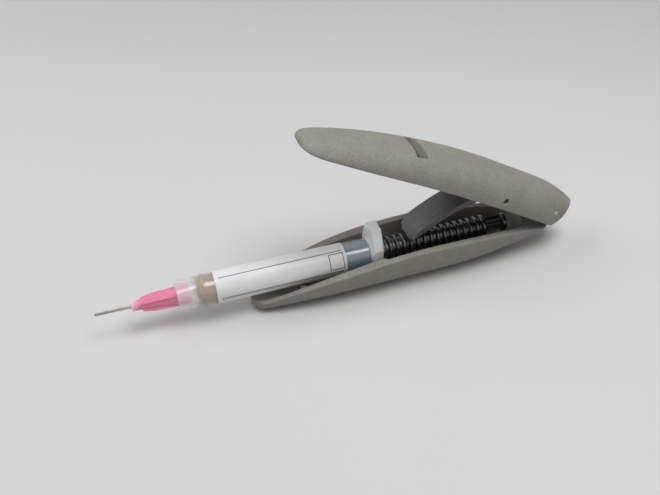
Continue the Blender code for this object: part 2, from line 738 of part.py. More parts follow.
def build_hub(twist, material):
    """The dispensing tip's hub: nose, tapered body with stepped fins, luer-lock lugs and socket."""
    collar = -BARREL_LENGTH
    front = collar - HUB_LENGTH
    rear = collar + HUB_INSERT
    step = front + HUB_NOSE_LENGTH
    lug_radius = COLLAR_RADIUS - COLLAR_WALL - RUNNING_GAP
    socket = LUER_RADIUS + RUNNING_GAP
    socket_rear = socket + LUER_TAPER * (HUB_INSERT + LUER_PROUD)
    socket_front = collar - LUER_PROUD - RUNNING_GAP
    bond = NEEDLE_RADIUS + PIN_GAP
    profile = [
        (front, HUB_NOSE_RADIUS),
        (step, HUB_NOSE_RADIUS),
        (step + HUB_STEP, HUB_FRONT_RADIUS),
        (collar - HUB_STEP, HUB_REAR_RADIUS),
        (collar, HUB_REAR_RADIUS + FIN_REACH),
        (rear - HUB_LUG_LENGTH, HUB_REAR_RADIUS + FIN_REACH),
        (rear - HUB_LUG_LENGTH, lug_radius),
        (rear, lug_radius),
        (rear, socket_rear),
        (socket_front, socket),
        (socket_front, NOZZLE_RADIUS),
        (front + NEEDLE_ROOT + RUNNING_GAP, NOZZLE_RADIUS),
        (front + NEEDLE_ROOT + RUNNING_GAP, bond),
        (front, bond),
    ]
    hub = add_mesh("needle_hub", turned_tube(profile, SMALL_STEPS), twist, material)
    high = socket_front - RUNNING_GAP
    edge = [
        (step + HUB_STEP, HUB_FRONT_RADIUS + FIN_FRONT_REACH),
        (front + FIN_STEP, HUB_FRONT_RADIUS + FIN_FRONT_REACH),
        (front + FIN_STEP, HUB_REAR_RADIUS + FIN_REACH),
        (high, HUB_REAR_RADIUS + FIN_REACH),
    ]
    for turn in (FIN_TURN, FIN_TURN + math.pi / 2.0):
        fin = slab([*edge, *((x, -z) for x, z in reversed(edge))], FIN_THICKNESS / 2.0)
        bmesh.ops.rotate(fin, verts=fin.verts, matrix=Matrix.Rotation(turn, 3, "X"))
        join(hub, fin)
    bores = ((front + NEEDLE_ROOT + RUNNING_GAP, NOZZLE_RADIUS), (front - HUB_STEP, bond))
    for start, radius in bores:
        cut(hub, turned([(start, radius), (collar, radius)], SMALL_STEPS))
    return hub


def build_needle(twist, material):
    """The blunt needle."""
    front = -BARREL_LENGTH - HUB_LENGTH
    low = front - NEEDLE_REACH
    high = front + NEEDLE_ROOT
    profile = [(low, NEEDLE_RADIUS), (high, NEEDLE_RADIUS), (high, NEEDLE_BORE), (low, NEEDLE_BORE)]
    return add_mesh("needle_tube", turned_tube(profile, SMALL_STEPS), twist, material)


# Springs

def wire(name, points, diameter, parent, material):
    """A wire along points, as one closed tube."""
    curve = bpy.data.curves.new(name, "CURVE")
    curve.dimensions = "3D"
    curve.bevel_depth = diameter / 2.0
    curve.bevel_resolution = 1
    curve.use_fill_caps = True
    spline = curve.splines.new("POLY")
    spline.points.add(len(points) - 1)
    for place, point in zip(spline.points, points):
        place.co = (*point, 1.0)
    curve.materials.append(material)
    obj = bpy.data.objects.new(name, curve)
    bpy.context.collection.objects.link(obj)
    obj.parent = parent
    return obj


def coil(radius, turns, pitch, start_angle, y_start):
    """Points of a coil about Y, turning from its first leg to its last."""
    count = round(turns * POINTS_PER_TURN)
    points = []
    for k in range(count + 1):
        angle = start_angle + 2.0 * math.pi * turns * k / count
        y = y_start + pitch * turns * k / count
        points.append(Vector((-radius * math.cos(angle), y, radius * math.sin(angle))))
    return points


def least_gap(points, diameter):
    """Least clear space between one turn of a wire and the next."""
    apart = POINTS_PER_TURN // 2
    pairs = ((a, b) for i, a in enumerate(points) for b in points[i + apart:])
    return min((a - b).length for a, b in pairs) - diameter


def tangent_turn(target, radius, leaving):
    """Turn of a coil at which a straight leg to a target leaves it, or arrives from it."""
    reach = math.sqrt(target[0] ** 2 + target[1] ** 2 - radius ** 2)
    run = reach if leaving else -reach
    return math.atan2(run * target[0] + radius * target[1], run * target[1] - radius * target[0])


def torsion_spring(radius, turns, pitch, first, last):
    """Points of a torsion spring about Y, centred on its axis, between the ends of its two legs."""
    start = tangent_turn(first, radius, leaving=False)
    end = tangent_turn(last, radius, leaving=True)
    extra = ((end - start) / (2.0 * math.pi)) % 1.0
    total = math.floor(turns) + extra
    body = coil(radius, total, pitch, start, -pitch * total / 2.0)
    leg_first = Vector((first[0], body[0].y, first[1]))
    leg_last = Vector((last[0], body[-1].y, last[1]))
    return [leg_first, *body, leg_last]


def build_return_spring(root, material):
    """The torsion spring on the hinge pin: one leg on the tail, one against the lever's ceiling."""
    deck = rim_height(HINGE_X - RETURN_COIL_RADIUS) + SEAT_GAP + RETURN_WIRE / 2.0
    foot = (-RETURN_COIL_RADIUS, deck - HINGE_Z)
    ceiling = crown_height(-RETURN_LEVER_LEG) - CROWN_WALL - SEAT_GAP - RETURN_WIRE
    leg_x, leg_z = lever_point(-RETURN_LEVER_LEG, ceiling)
    points = torsion_spring(RETURN_COIL_RADIUS, RETURN_TURNS, RETURN_PITCH, foot,
                            (leg_x - HINGE_X, leg_z - HINGE_Z))
    print("return_spring least gap mm", round(least_gap(points[1:-1], RETURN_WIRE) / MM, 3))
    spring = wire("return_spring", points, RETURN_WIRE, root, material)
    spring.location = (HINGE_X, 0.0, HINGE_Z)
    return spring


def build_pawl_spring(hinge, material):
    """The torsion spring on the pawl pin: one leg over the pawl, one against the lever's ceiling."""
    lean = PAWL_ANGLE - LEVER_OPEN
    share = 1.0 - PAWL_SPRING_LEG / (PAWL_REACH - PAWL_NOSE_BACK)
    over_x, over_z = pawl_top(share)
    over_z += SEAT_GAP + PAWL_WIRE / 2.0
    on_pawl = (over_x * math.cos(lean) + over_z * math.sin(lean),
               over_z * math.cos(lean) - over_x * math.sin(lean))
    roof_x = PIVOT_X - PAWL_SPRING_LEG
    roof = crown_height(roof_x) - CROWN_WALL - SEAT_GAP - PAWL_WIRE - PIVOT_Z
    points = torsion_spring(PAWL_COIL_RADIUS, PAWL_TURNS, PAWL_PITCH, on_pawl, (-PAWL_SPRING_LEG, roof))
    print("pawl_spring least gap mm", round(least_gap(points[1:-1], PAWL_WIRE) / MM, 3))
    spring = wire("pawl_spring", points, PAWL_WIRE, hinge, material)
    spring.location = (PIVOT_X, 0.0, PIVOT_Z)
    return spring


def main():
    """Build every piece."""
    clear_scene()
    printed = (0.33, 0.31, 0.29)
    black = (0.03, 0.03, 0.032)
    steel = (0.62, 0.62, 0.63)
    root = axis_empty("syringe_axis", None, (FLANGE_X, 0.0, AXIS_HEIGHT))
    hinge = axis_empty("hinge_axis", root, (HINGE_X, 0.0, HINGE_Z), LEVER_OPEN)
    pivot = axis_empty("pawl_axis", hinge, (PIVOT_X, 0.0, PIVOT_Z), PAWL_ANGLE - LEVER_OPEN)
    slide = axis_empty("plunger_axis", root)
    twist = axis_empty("tip_axis", root)
    build_lower_shell(root, finish("printed_shell", printed, 0.85))
    build_upper_lever(hinge, finish("printed_lever", printed, 0.85))
    add_mesh("hinge_pin", cross_pin(HINGE_PIN_RADIUS, HINGE_PIN_LENGTH), hinge,
             finish("hinge_steel", steel, 0.3, 1.0))
    add_mesh("pawl_pin", cross_pin(PAWL_PIN_RADIUS, PAWL_PIN_LENGTH, PIVOT_X, PIVOT_Z), hinge,
             finish("pivot_steel", steel, 0.3, 1.0))
    build_drive_pawl(pivot, finish("pawl_black", black, 0.6))
    build_return_spring(root, finish("return_wire", steel, 0.35, 1.0))
    build_pawl_spring(hinge, finish("pawl_wire", steel, 0.35, 1.0))
    build_barrel(root, finish("clear_barrel", (0.78, 0.8, 0.82), 0.3))
    build_label(root, finish("white_label", (0.85, 0.85, 0.84), 0.5))
    build_paste(root, finish("paste", (0.5, 0.45, 0.4), 0.6))
    build_piston(slide, finish("piston_rubber", (0.05, 0.05, 0.05), 0.6))
    build_rod(slide, finish("rod_black", black, 0.25))
    build_hub(twist, finish("pink_hub", (0.85, 0.3, 0.45), 0.35))
    build_needle(twist, finish("needle_steel", steel, 0.25, 1.0))
    print("stroke mm", round(STROKE / MM, 3), "metres per radian", round(STROKE / LEVER_TRAVEL, 6))
    turn = PAWL_ANGLE - PAWL_ANGLE_CLOSED - LEVER_TRAVEL
    print("pawl ratio", round(turn / LEVER_TRAVEL, 5))


main()
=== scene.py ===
"""Looks of a solder paste syringe in its squeeze-lever holder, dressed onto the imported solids.

Lengths are in metres. Each class draws its pieces in the frame of the part that carries them: the
syringe frame starts on the axis at the flange's front face, the lever frame on the hinge axis and
the pawl frame on the pawl's pin. A matrix then sets the mesh into the row frame of the pack.
"""

import logging
import math
from collections.abc import Callable, Mapping, Sequence
from dataclasses import dataclass
from enum import Enum

import bmesh
import bpy
from mathutils import Euler, Matrix, Vector


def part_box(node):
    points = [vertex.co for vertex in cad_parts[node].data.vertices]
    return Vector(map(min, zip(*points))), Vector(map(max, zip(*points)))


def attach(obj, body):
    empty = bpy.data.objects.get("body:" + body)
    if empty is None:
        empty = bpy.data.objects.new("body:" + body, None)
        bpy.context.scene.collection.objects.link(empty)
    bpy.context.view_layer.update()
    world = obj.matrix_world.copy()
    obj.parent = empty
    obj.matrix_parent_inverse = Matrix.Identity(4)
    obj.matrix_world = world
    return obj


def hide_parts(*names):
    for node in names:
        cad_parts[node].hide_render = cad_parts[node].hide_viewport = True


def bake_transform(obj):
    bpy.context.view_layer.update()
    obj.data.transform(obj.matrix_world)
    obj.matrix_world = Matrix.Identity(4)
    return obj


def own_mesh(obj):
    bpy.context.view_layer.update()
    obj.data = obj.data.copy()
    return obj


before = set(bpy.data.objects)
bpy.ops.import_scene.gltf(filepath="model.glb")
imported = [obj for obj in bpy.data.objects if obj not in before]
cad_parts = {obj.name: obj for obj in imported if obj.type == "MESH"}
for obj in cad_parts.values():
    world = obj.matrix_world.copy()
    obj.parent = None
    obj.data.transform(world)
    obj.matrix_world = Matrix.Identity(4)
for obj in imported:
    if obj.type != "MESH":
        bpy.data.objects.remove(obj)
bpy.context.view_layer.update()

LOG = logging.getLogger("scene")
MM = 0.001
HAIRLINE = 0.002 * MM
EDGE_SHARE = 0.45
SMOOTHING = 0.5
WIRE_FACETS = 4
MIDDLE = 0.5
MOTTLE = (0.3, 0.7)
ASKEW = Euler((0.62, 0.47, 0.71)).to_matrix().to_4x4()

Profile = list[tuple[float, float]]
Triple = tuple[float, float, float]
Colour = Triple
BLACK: Colour = (0.0, 0.0, 0.0)
WHITE: Colour = (1.0, 1.0, 1.0)
EVEN: Triple = (1.0, 1.0, 1.0)


class Body(Enum):
    """The moving bodies of the pack."""

    SHELL = "shell"
    LEVER = "lever"
    PAWL = "pawl"
    PLUNGER = "plunger"
    TIP = "tip"


class Cut(Enum):
    """What a tool does to the form it meets."""

    JOIN = "UNION"
    TAKE = "DIFFERENCE"


# Shader graphs

class Signal:
    """A shader socket that arithmetic turns into Math nodes."""

    def __init__(self, graph: "Graph", socket: bpy.types.NodeSocket) -> None:
        """Keep an output socket and the graph that new nodes go into."""
        self.graph = graph
        self.socket = socket

    def maths(self, operation: str, *values: "Signal | float") -> "Signal":
        """Result of one Math node with these inputs."""
        return self.graph.node("ShaderNodeMath", {"operation": operation}, dict(enumerate(values)))

    def __add__(self, other: "Signal | float") -> "Signal":
        """Sum of two values."""
        return self.maths("ADD", self, other)

    def __sub__(self, other: "Signal | float") -> "Signal":
        """Difference of two values."""
        return self.maths("SUBTRACT", self, other)

    def __rsub__(self, other: float) -> "Signal":
        """A number less this value."""
        return self.maths("SUBTRACT", other, self)

    def __mul__(self, other: "Signal | float") -> "Signal":
        """Product of two values."""
        return self.maths("MULTIPLY", self, other)

    __radd__ = __add__
    __rmul__ = __mul__

    def __neg__(self) -> "Signal":
        """This value with its sign changed."""
        return self.maths("MULTIPLY", self, -1.0)

    def __abs__(self) -> "Signal":
        """Size of this value."""
        return self.maths("ABSOLUTE", self)

    def sine(self) -> "Signal":
        """Sine of this value."""
        return self.maths("SINE", self)

    def most(self, other: "Signal | float") -> "Signal":
        """The greater of two values."""
        return self.maths("MAXIMUM", self, other)

    def angle_from(self, other: "Signal") -> "Signal":
        """Angle whose tangent is this value over another."""
        return self.maths("ARCTAN2", self, other)

    def swing(self, share: float) -> "Signal":
        """This noise measured from its middle, times a share."""
        return (self - MIDDLE) * share

    def step(self, low: float, high: float) -> "Signal":
        """A smooth step that is 0 at low and 1 at high, or the other way about.

        Args:
            low: Value at which the step is 0.
            high: Value at which the step is 1.

        Returns:
            The step, between 0 and 1.
        """
        rising = low < high
        ends = (low, high) if rising else (high, low)
        settings = {"interpolation_type": "SMOOTHSTEP"}
        inputs = {0: self, 1: ends[0], 2: ends[1]}
        stepped = self.graph.node("ShaderNodeMapRange", settings, inputs)
        return stepped if rising else 1.0 - stepped


class Graph:
    """A material whose nodes are written as Python expressions."""

    def __init__(self, name: str) -> None:
        """Start a material with its usual shader.

        Args:
            name: The material's name.
        """
        self.material = bpy.data.materials.new(name)
        self.material.use_nodes = True
        self.tree = self.material.node_tree
        self.shader = self.tree.nodes["Principled BSDF"]

    def node(self, kind: str, settings: Mapping[str, object] | None = None,
             inputs: Mapping[int | str, object] | None = None, output: int | str = 0) -> Signal:
        """Make a node, with its settings set before its inputs.

        Args:
            kind: The node's type.
            settings: Its properties.
            inputs: Values or signals for its input sockets.
            output: The output socket to return.

        Returns:
            The chosen output.
        """
        made = self.tree.nodes.new(kind)
        for key, value in (settings or {}).items():
            setattr(made, key, value)
        for key, value in (inputs or {}).items():
            self.feed(made.inputs[key], value)
        return Signal(self, made.outputs[output])

    def feed(self, socket: bpy.types.NodeSocket, value: object) -> None:
        """Link a signal to a socket, or set a constant on it.

        Args:
            socket: The input socket.
            value: A signal or a constant.
        """
        if isinstance(value, Signal):
            self.tree.links.new(value.socket, socket)
        else:
            socket.default_value = value

    def set(self, **values: object) -> None:
        """Set the shader's own sockets, named with underscores for spaces.

        Args:
            values: Socket names with a constant or a signal each.
        """
        for key, value in values.items():
            colour = isinstance(value, tuple) and len(value) == 3 and "Radius" not in key
            self.feed(self.shader.inputs[key.replace("_", " ")], (*value, 1.0) if colour else value)

    def place(self) -> Signal:
        """Place on the piece, in metres."""
        return self.node("ShaderNodeTexCoord", output="Object")

    def seen(self) -> Signal:
        """1 for rays that see a surface, by eye or in a mirror or glass, and 0 for light."""
        rays = [self.node("ShaderNodeLightPath", output=f"Is {kind} Ray")
                for kind in ("Camera", "Glossy", "Transmission")]
        return rays[0].most(rays[1]).most(rays[2])

    def along(self, axis: int) -> Signal:
        """One coordinate of the place in metres, with 0, 1 or 2 for X, Y or Z."""
        return self.node("ShaderNodeSeparateXYZ", inputs={0: self.place()}, output=axis)

    def noise(self, size: float, detail: float = 2.0, stretch: Triple = EVEN) -> Signal:
        """Cloudy noise about MIDDLE, with lumps of a size in metres that are longer along an axis."""
        scale = tuple(1.0 / (size * s) for s in stretch)
        scaled = self.node("ShaderNodeVectorMath", {"operation": "MULTIPLY"}, {0: self.place(), 1: scale})
        return self.node("ShaderNodeTexNoise", inputs={"Vector": scaled, "Scale": 1.0, "Detail": detail})

    def mix(self, share: Signal, low: Colour | Signal, high: Colour | Signal) -> Signal:
        """Mix two colours, with a share of 0 for the first and 1 for the second."""
        ends = [(*c, 1.0) if isinstance(c, tuple) else c for c in (low, high)]
        return self.node("ShaderNodeMix", {"data_type": "RGBA"}, {0: share, 6: ends[0], 7: ends[1]}, 2)

    def bump(self, height: Signal, distance: float, strength: float = 1.0) -> Signal:
        """Turn a height into a normal, where a value of 1 stands the distance in metres high."""
        inputs = {"Height": height, "Distance": distance, "Strength": strength}
        return self.node("ShaderNodeBump", inputs=inputs)

    def see_through(self, veil: Signal, roughness: float, gloss: float, edge: float) -> None:
        """Show what is behind the piece, under a glossy skin.

        Args:
            veil: Share of the shader's own look, from 0 to 1.
            roughness: Roughness of the skin.
            gloss: Share of light that the skin mirrors seen straight on.
            edge: Share that it mirrors more at its edges.
        """
        look = Signal(self, self.shader.outputs[0])
        clear = self.node("ShaderNodeBsdfTransparent")
        body = self.node("ShaderNodeMixShader", inputs={0: veil, 1: clear, 2: look})
        shine = self.node("ShaderNodeBsdfAnisotropic", inputs={"Roughness": roughness})
        grazing = self.node("ShaderNodeLayerWeight", inputs={"Blend": 0.5}, output="Facing")
        share = gloss + grazing * grazing * grazing * grazing * edge
        seen = self.node("ShaderNodeMixShader", inputs={0: share, 1: body, 2: shine})
        self.feed(self.tree.nodes["Material Output"].inputs["Surface"], seen)


class SkyGraph(Graph):
    """The nodes of the world round the object."""

    def __init__(self, name: str) -> None:
        """Start a world with its usual background.

        Args:
            name: The world's name.
        """
        self.world = bpy.data.worlds.new(name)
        self.world.use_nodes = True
        self.tree = self.world.node_tree
        self.shader = self.tree.nodes["Background"]


# Finishes

@dataclass(frozen=True)
class SinteredNylon:
    """Warm grey nylon sintered from powder: matt, speckled and finely grained."""

    name: str
    dark: Colour = (0.175, 0.162, 0.148)
    pale: Colour = (0.345, 0.325, 0.300)
    grain: float = 0.32 * MM
    powder: float = 0.15 * MM
    cloud: float = 6.0 * MM
    layer: float = 0.55 * MM
    relief: float = 0.07 * MM
    roughness: float = 0.86
    shine: float = 0.22
    sheen: float = 0.06

    def material(self) -> bpy.types.Material:
        """Build the finish.

        Returns:
            The material.
        """
        graph = Graph(self.name)
        grain = graph.noise(self.grain, detail=3.0)
        powder = graph.noise(self.powder, detail=1.0)
        cloud = graph.noise(self.cloud, detail=3.0)
        layers = (graph.along(2) * (2.0 * math.pi / self.layer) + cloud * 5.0).sine()
        speckle = grain.swing(1.5) + powder.swing(0.8) + cloud.swing(0.35) + layers * 0.025
        tone = (speckle + MIDDLE).step(0.0, 1.0)
        height = grain * 0.7 + powder * 0.5 + layers * 0.08
        graph.set(Base_Color=graph.mix(tone, self.dark, self.pale),
                  Roughness=self.roughness + powder.swing(0.15),
                  Normal=graph.bump(height, self.relief, strength=0.9),
                  Specular_IOR_Level=self.shine, Sheen_Weight=self.sheen)
        return graph.material


@dataclass(frozen=True)
class LayeredPrint:
    """Satin black plastic printed in layers, with fine lines along the piece."""

    name: str
    dark: Colour = (0.046, 0.046, 0.046)
    pale: Colour = (0.100, 0.100, 0.100)
    layer: float = 0.3 * MM
    wander: float = 7.0 * MM
    streak: float = 1.2 * MM
    relief: float = 0.03 * MM
    roughness: float = 0.42
    shine: float = 0.5
    pull: Triple = (6.0, 0.4, 6.0)

    def material(self) -> bpy.types.Material:
        """Build the finish.

        Returns:
            The material.
        """
        graph = Graph(self.name)
        wander = graph.noise(self.wander)
        lines = (graph.along(1) * (2.0 * math.pi / self.layer) + wander * 3.0).sine()
        streak = graph.noise(self.streak, detail=3.0, stretch=self.pull)
        tone = (streak.swing(1.4) + lines * 0.12 + MIDDLE).step(0.1, 0.9)
        graph.set(Base_Color=graph.mix(tone, self.dark, self.pale),
                  Roughness=self.roughness + wander.swing(0.2) + lines * 0.03,
                  Normal=graph.bump(lines * 0.35 + streak, self.relief, strength=0.6),
                  Specular_IOR_Level=self.shine)
        return graph.material


@dataclass(frozen=True)
class GlossMoulding:
    """Moulded glossy plastic with faint flow marks."""

    name: str
    dark: Colour = (0.0055, 0.0055, 0.006)
    pale: Colour = (0.013, 0.013, 0.014)
    flow: float = 2.2 * MM
    roughness: float = 0.31
    shine: float = 0.6
    coat: float = 0.6
    relief: float = 0.006 * MM

    def material(self) -> bpy.types.Material:
        """Build the finish.

        Returns:
            The material.
        """
        graph = Graph(self.name)
        flow = graph.noise(self.flow, detail=3.0)
        fine = graph.noise(self.flow / 7.0)
        graph.set(Base_Color=graph.mix(flow.step(*MOTTLE), self.dark, self.pale),
                  Roughness=self.roughness + flow.swing(0.16),
                  Normal=graph.bump(flow + fine * 0.3, self.relief, strength=0.5),
                  Specular_IOR_Level=self.shine, Coat_Weight=self.coat, Coat_Roughness=self.roughness)
        return graph.material


@dataclass(frozen=True)
class MilkyPolymer:
    """Moulded plastic that shows what is behind it through a milky veil, tinted where it is filled."""

    name: str
    clear: Colour = (0.72, 0.84, 0.98)
    cloudy: Colour = (0.62, 0.73, 0.86)
    thick: Colour = (0.90, 0.91, 0.92)
    veil: float = 0.2
    collar_veil: float = 0.2
    filled: Colour = (0.54, 0.455, 0.375)
    filled_veil: float = 0.5
    flange_veil: float = 0.8
    collar_to: float = -1.0
    filled_to: float = -1.0
    flange_from: float = 1.0
    blend: float = 1.1 * MM
    roughness: float = 0.13
    gloss: float = 0.045
    edge: float = 0.35
    index: float = 1.48
    depth: float = 0.7
    reach: Triple = EVEN
    scatter: float = 2.0 * MM
    flow: float = 3.0 * MM
    relief: float = 0.004 * MM

    def material(self) -> bpy.types.Material:
        """Build the finish.

        Returns:
            The material.
        """
        graph = Graph(self.name)
        flow = graph.noise(self.flow, detail=3.0, stretch=(3.0, 1.0, 1.0))
        x = graph.along(0)
        collar = x.step(self.collar_to + self.blend, self.collar_to)
        flange = x.step(self.flange_from - self.blend, self.flange_from)
        veil = self.veil + collar * (self.collar_veil - self.veil) + flow.swing(0.1)
        filled = (1.0 - collar) * x.step(self.filled_to + self.blend, self.filled_to)
        veil = veil + flange * (self.flange_veil - self.veil) + filled * (self.filled_veil - self.veil)
        empty = graph.mix(flow.step(*MOTTLE), self.clear, self.cloudy)
        bare = graph.mix(collar.most(flange), empty, self.thick)
        graph.set(Base_Color=graph.mix(filled, bare, self.filled),
                  Roughness=self.roughness + flow.swing(0.1),
                  Normal=graph.bump(flow, self.relief, strength=0.5), IOR=self.index,
                  Subsurface_Weight=self.depth, Subsurface_Radius=self.reach,
                  Subsurface_Scale=self.scatter)
        graph.see_through(veil, self.roughness, self.gloss, self.edge)
        return graph.material


@dataclass(frozen=True)
class TintedPolymer:
    """Coloured translucent plastic that glows a little from inside, paler where it is thin."""

    name: str
    front: float
    clear: Colour = (0.86, 0.31, 0.46)
    cloudy: Colour = (0.80, 0.24, 0.40)
    thin: Colour = (0.95, 0.62, 0.70)
    thin_length: float = 2.6 * MM
    passing: float = 0.12
    index: float = 1.48
    depth: float = 0.85
    reach: Triple = (1.0, 0.4, 0.55)
    scatter: float = 1.8 * MM
    roughness: float = 0.2
    flow: float = 1.6 * MM
    relief: float = 0.015 * MM

    def material(self) -> bpy.types.Material:
        """Build the finish.

        Returns:
            The material.
        """
        graph = Graph(self.name)
        flow = graph.noise(self.flow, detail=3.0, stretch=(2.0, 1.0, 1.0))
        solid = graph.along(0).step(self.front, self.front + self.thin_length)
        tint = graph.mix(flow.step(*MOTTLE), self.clear, self.cloudy)
        graph.set(Base_Color=graph.mix(solid, self.thin, tint),
                  Roughness=self.roughness + flow.swing(0.12),
                  Normal=graph.bump(flow, self.relief, strength=0.5),
                  Transmission_Weight=self.passing, IOR=self.index,
                  Subsurface_Weight=self.depth, Subsurface_Radius=self.reach,
                  Subsurface_Scale=self.scatter)
        return graph.material


@dataclass(frozen=True)
class LabelFilm:
    """White wrap label with generic printed rules and an empty box to write in."""

    name: str
    axis_z: float
    front: float
    rear: float
    film: Colour = (0.74, 0.74, 0.75)
    shade: Colour = (0.69, 0.69, 0.70)
    ink: Colour = (0.030, 0.030, 0.033)
    radius: float = 5.85 * MM
    margin: float = 1.3 * MM
    rule: float = 0.30 * MM
    upper_rule: float = math.radians(17.9)
    lower_rules: tuple[float, float] = (math.radians(96.3), math.radians(102.0))
    box_width: float = 5.2 * MM
    box_margin: float = 1.2 * MM
    box_turns: tuple[float, float] = (math.radians(27.0), math.radians(84.0))
    density: float = 0.92
    coat: float = 0.15
    coat_roughness: float = 0.3
    cloud: float = 5.0 * MM
    fibre: float = 0.35 * MM
    relief: float = 0.04 * MM
    roughness: float = 0.42

    def line(self, offset: Signal) -> Signal:
        """Ink at an offset in metres from a line's middle: 1 on the line and 0 off it."""
        return abs(offset).step(self.rule * 0.75, self.rule * 0.35)

    def material(self) -> bpy.types.Material:
        """Build the finish.

        Returns:
            The material.
        """
        graph = Graph(self.name)
        x = graph.along(0)
        turn = (-graph.along(1)).angle_from(graph.along(2) - self.axis_z)
        inside = x.step(self.front + self.margin, self.front + self.margin + self.rule)
        inside = inside * x.step(self.rear - self.margin, self.rear - self.margin - self.rule)
        rules = self.line((turn - self.upper_rule) * self.radius)
        for angle in self.lower_rules:
            rules = rules.most(self.line((turn - angle) * self.radius))
        middle = self.rear - self.box_margin - self.box_width / 2.0
        across = abs(x - middle) - self.box_width / 2.0
        half_turn = (self.box_turns[1] - self.box_turns[0]) / 2.0
        round_box = (abs(turn - (self.box_turns[0] + half_turn)) - half_turn) * self.radius
        box = self.line(across.most(round_box))
        ink = (rules * inside).most(box)
        cloud = graph.noise(self.cloud, detail=3.0)
        fibre = graph.noise(self.fibre)
        film = graph.mix(cloud.step(0.25, 0.75), self.film, self.shade)
        graph.set(Base_Color=graph.mix(ink * self.density, film, self.ink),
                  Roughness=self.roughness + fibre.swing(0.15),
                  Normal=graph.bump(cloud * 0.7 + fibre * 0.25, self.relief, strength=0.4),
                  Coat_Weight=self.coat, Coat_Roughness=self.coat_roughness)
        return graph.material


@dataclass(frozen=True)
class PasteFinish:
    """Grey-beige solder paste with a fine metallic grain."""

    name: str
    dark: Colour = (0.20, 0.14, 0.082)
    pale: Colour = (0.355, 0.26, 0.165)
    grain: float = 0.25 * MM
    smear: float = 4.0 * MM
    relief: float = 0.1 * MM
    roughness: float = 0.5
    metal: float = 0.35

    def material(self) -> bpy.types.Material:
        """Build the finish.

        Returns:
            The material.
        """
        graph = Graph(self.name)
        grain = graph.noise(self.grain)
        smear = graph.noise(self.smear, detail=3.0, stretch=(0.5, 1.0, 1.0))
        tone = (grain.swing(0.8) + smear.swing(1.2) + MIDDLE).step(0.0, 1.0)
        graph.set(Base_Color=graph.mix(tone, self.dark, self.pale),
                  Roughness=self.roughness + grain.swing(0.3),
                  Metallic=grain.step(0.62, 0.75) * self.metal,
                  Normal=graph.bump(smear + grain * 0.2, self.relief, strength=0.6))
        return graph.material


@dataclass(frozen=True)
class DrawnSteel:
    """Steel wire, tube or pin with drawing marks along it."""

    name: str
    dark: Colour = (0.40, 0.36, 0.31)
    pale: Colour = (0.66, 0.62, 0.56)
    roughness: float = 0.3
    stretch: Triple = (12.0, 1.0, 1.0)
    mark: float = 0.16 * MM
    stain: float = 1.6 * MM
    relief: float = 0.01 * MM

    def material(self) -> bpy.types.Material:
        """Build the finish.

        Returns:
            The material.
        """
        graph = Graph(self.name)
        marks = graph.noise(self.mark, stretch=self.stretch)
        stain = graph.noise(self.stain)
        tone = (marks.swing(1.2) + stain.swing(0.8) + MIDDLE).step(0.0, 1.0)
        graph.set(Base_Color=graph.mix(tone, self.dark, self.pale), Metallic=1.0,
                  Roughness=self.roughness + marks.swing(0.2),
                  Normal=graph.bump(marks, self.relief, strength=0.5))
        return graph.material


@dataclass(frozen=True)
class PaleFloor:
    """Plain pale studio sheet."""

    name: str
    tone: Colour = (0.63, 0.63, 0.63)
    shade: Colour = (0.615, 0.615, 0.615)
    far: float = 0.62
    cloud: float = 60.0 * MM
    roughness: float = 0.75
    shine: float = 0.2
    fade_from: float = 0.25
    fade_to: float = 0.6

    def material(self) -> bpy.types.Material:
        """Build the finish.

        Returns:
            The material.
        """
        graph = Graph(self.name)
        cloud = graph.noise(self.cloud)
        x = graph.along(0)
        y = graph.along(1)
        away = (x * x + y * y).step(self.fade_from ** 2, self.fade_to ** 2)
        glow = away * graph.seen()
        sheet = graph.mix(cloud, self.shade, self.tone)
        graph.set(Base_Color=graph.mix(away, sheet, BLACK),
                  Roughness=self.roughness + cloud.swing(0.1), Specular_IOR_Level=self.shine,
                  Emission_Color=graph.mix(glow, BLACK, (self.far, self.far, self.far)),
                  Emission_Strength=1.0)
        return graph.material


# Meshes

def linked(name: str, data: bpy.types.ID) -> bpy.types.Object:
    """A new object in the scene with this data."""
    obj = bpy.data.objects.new(name, data)
    bpy.context.collection.objects.link(obj)
    return obj


def object_from(name: str, bm: bmesh.types.BMesh, matrix: Matrix | None = None) -> bpy.types.Object:
    """Turn a bmesh into an object with outward faces.

    Args:
        name: The object's name.
        bm: The mesh, which is freed.
        matrix: Where the mesh goes in the row frame.

    Returns:
        The object, at the origin.
    """
    bmesh.ops.recalc_face_normals(bm, faces=bm.faces)
    mesh = bpy.data.meshes.new(name)
    bm.to_mesh(mesh)
    bm.free()
    if matrix is not None:
        mesh.transform(matrix)
    return linked(name, mesh)


def settle(obj: bpy.types.Object) -> None:
    """Apply an object's modifiers to its mesh.

    Args:
        obj: The object.
    """
    depsgraph = bpy.context.evaluated_depsgraph_get()
    mesh = bpy.data.meshes.new_from_object(obj.evaluated_get(depsgraph))
    obj.modifiers.clear()
    old = obj.data
    obj.data = mesh
    bpy.data.meshes.remove(old)


def work(obj: bpy.types.Object, cut: Cut, bm: bmesh.types.BMesh) -> None:
    """Join a tool to an object or take it away, and drop the tool.

    Args:
        obj: The object to change.
        cut: What the tool does.
        bm: The tool's mesh.
    """
    tool = object_from("tool", bm)
    modifier = obj.modifiers.new("work", "BOOLEAN")
    modifier.operation = cut.value
    modifier.solver = "EXACT"
    modifier.object = tool
    settle(obj)
    bpy.data.objects.remove(tool, do_unlink=True)


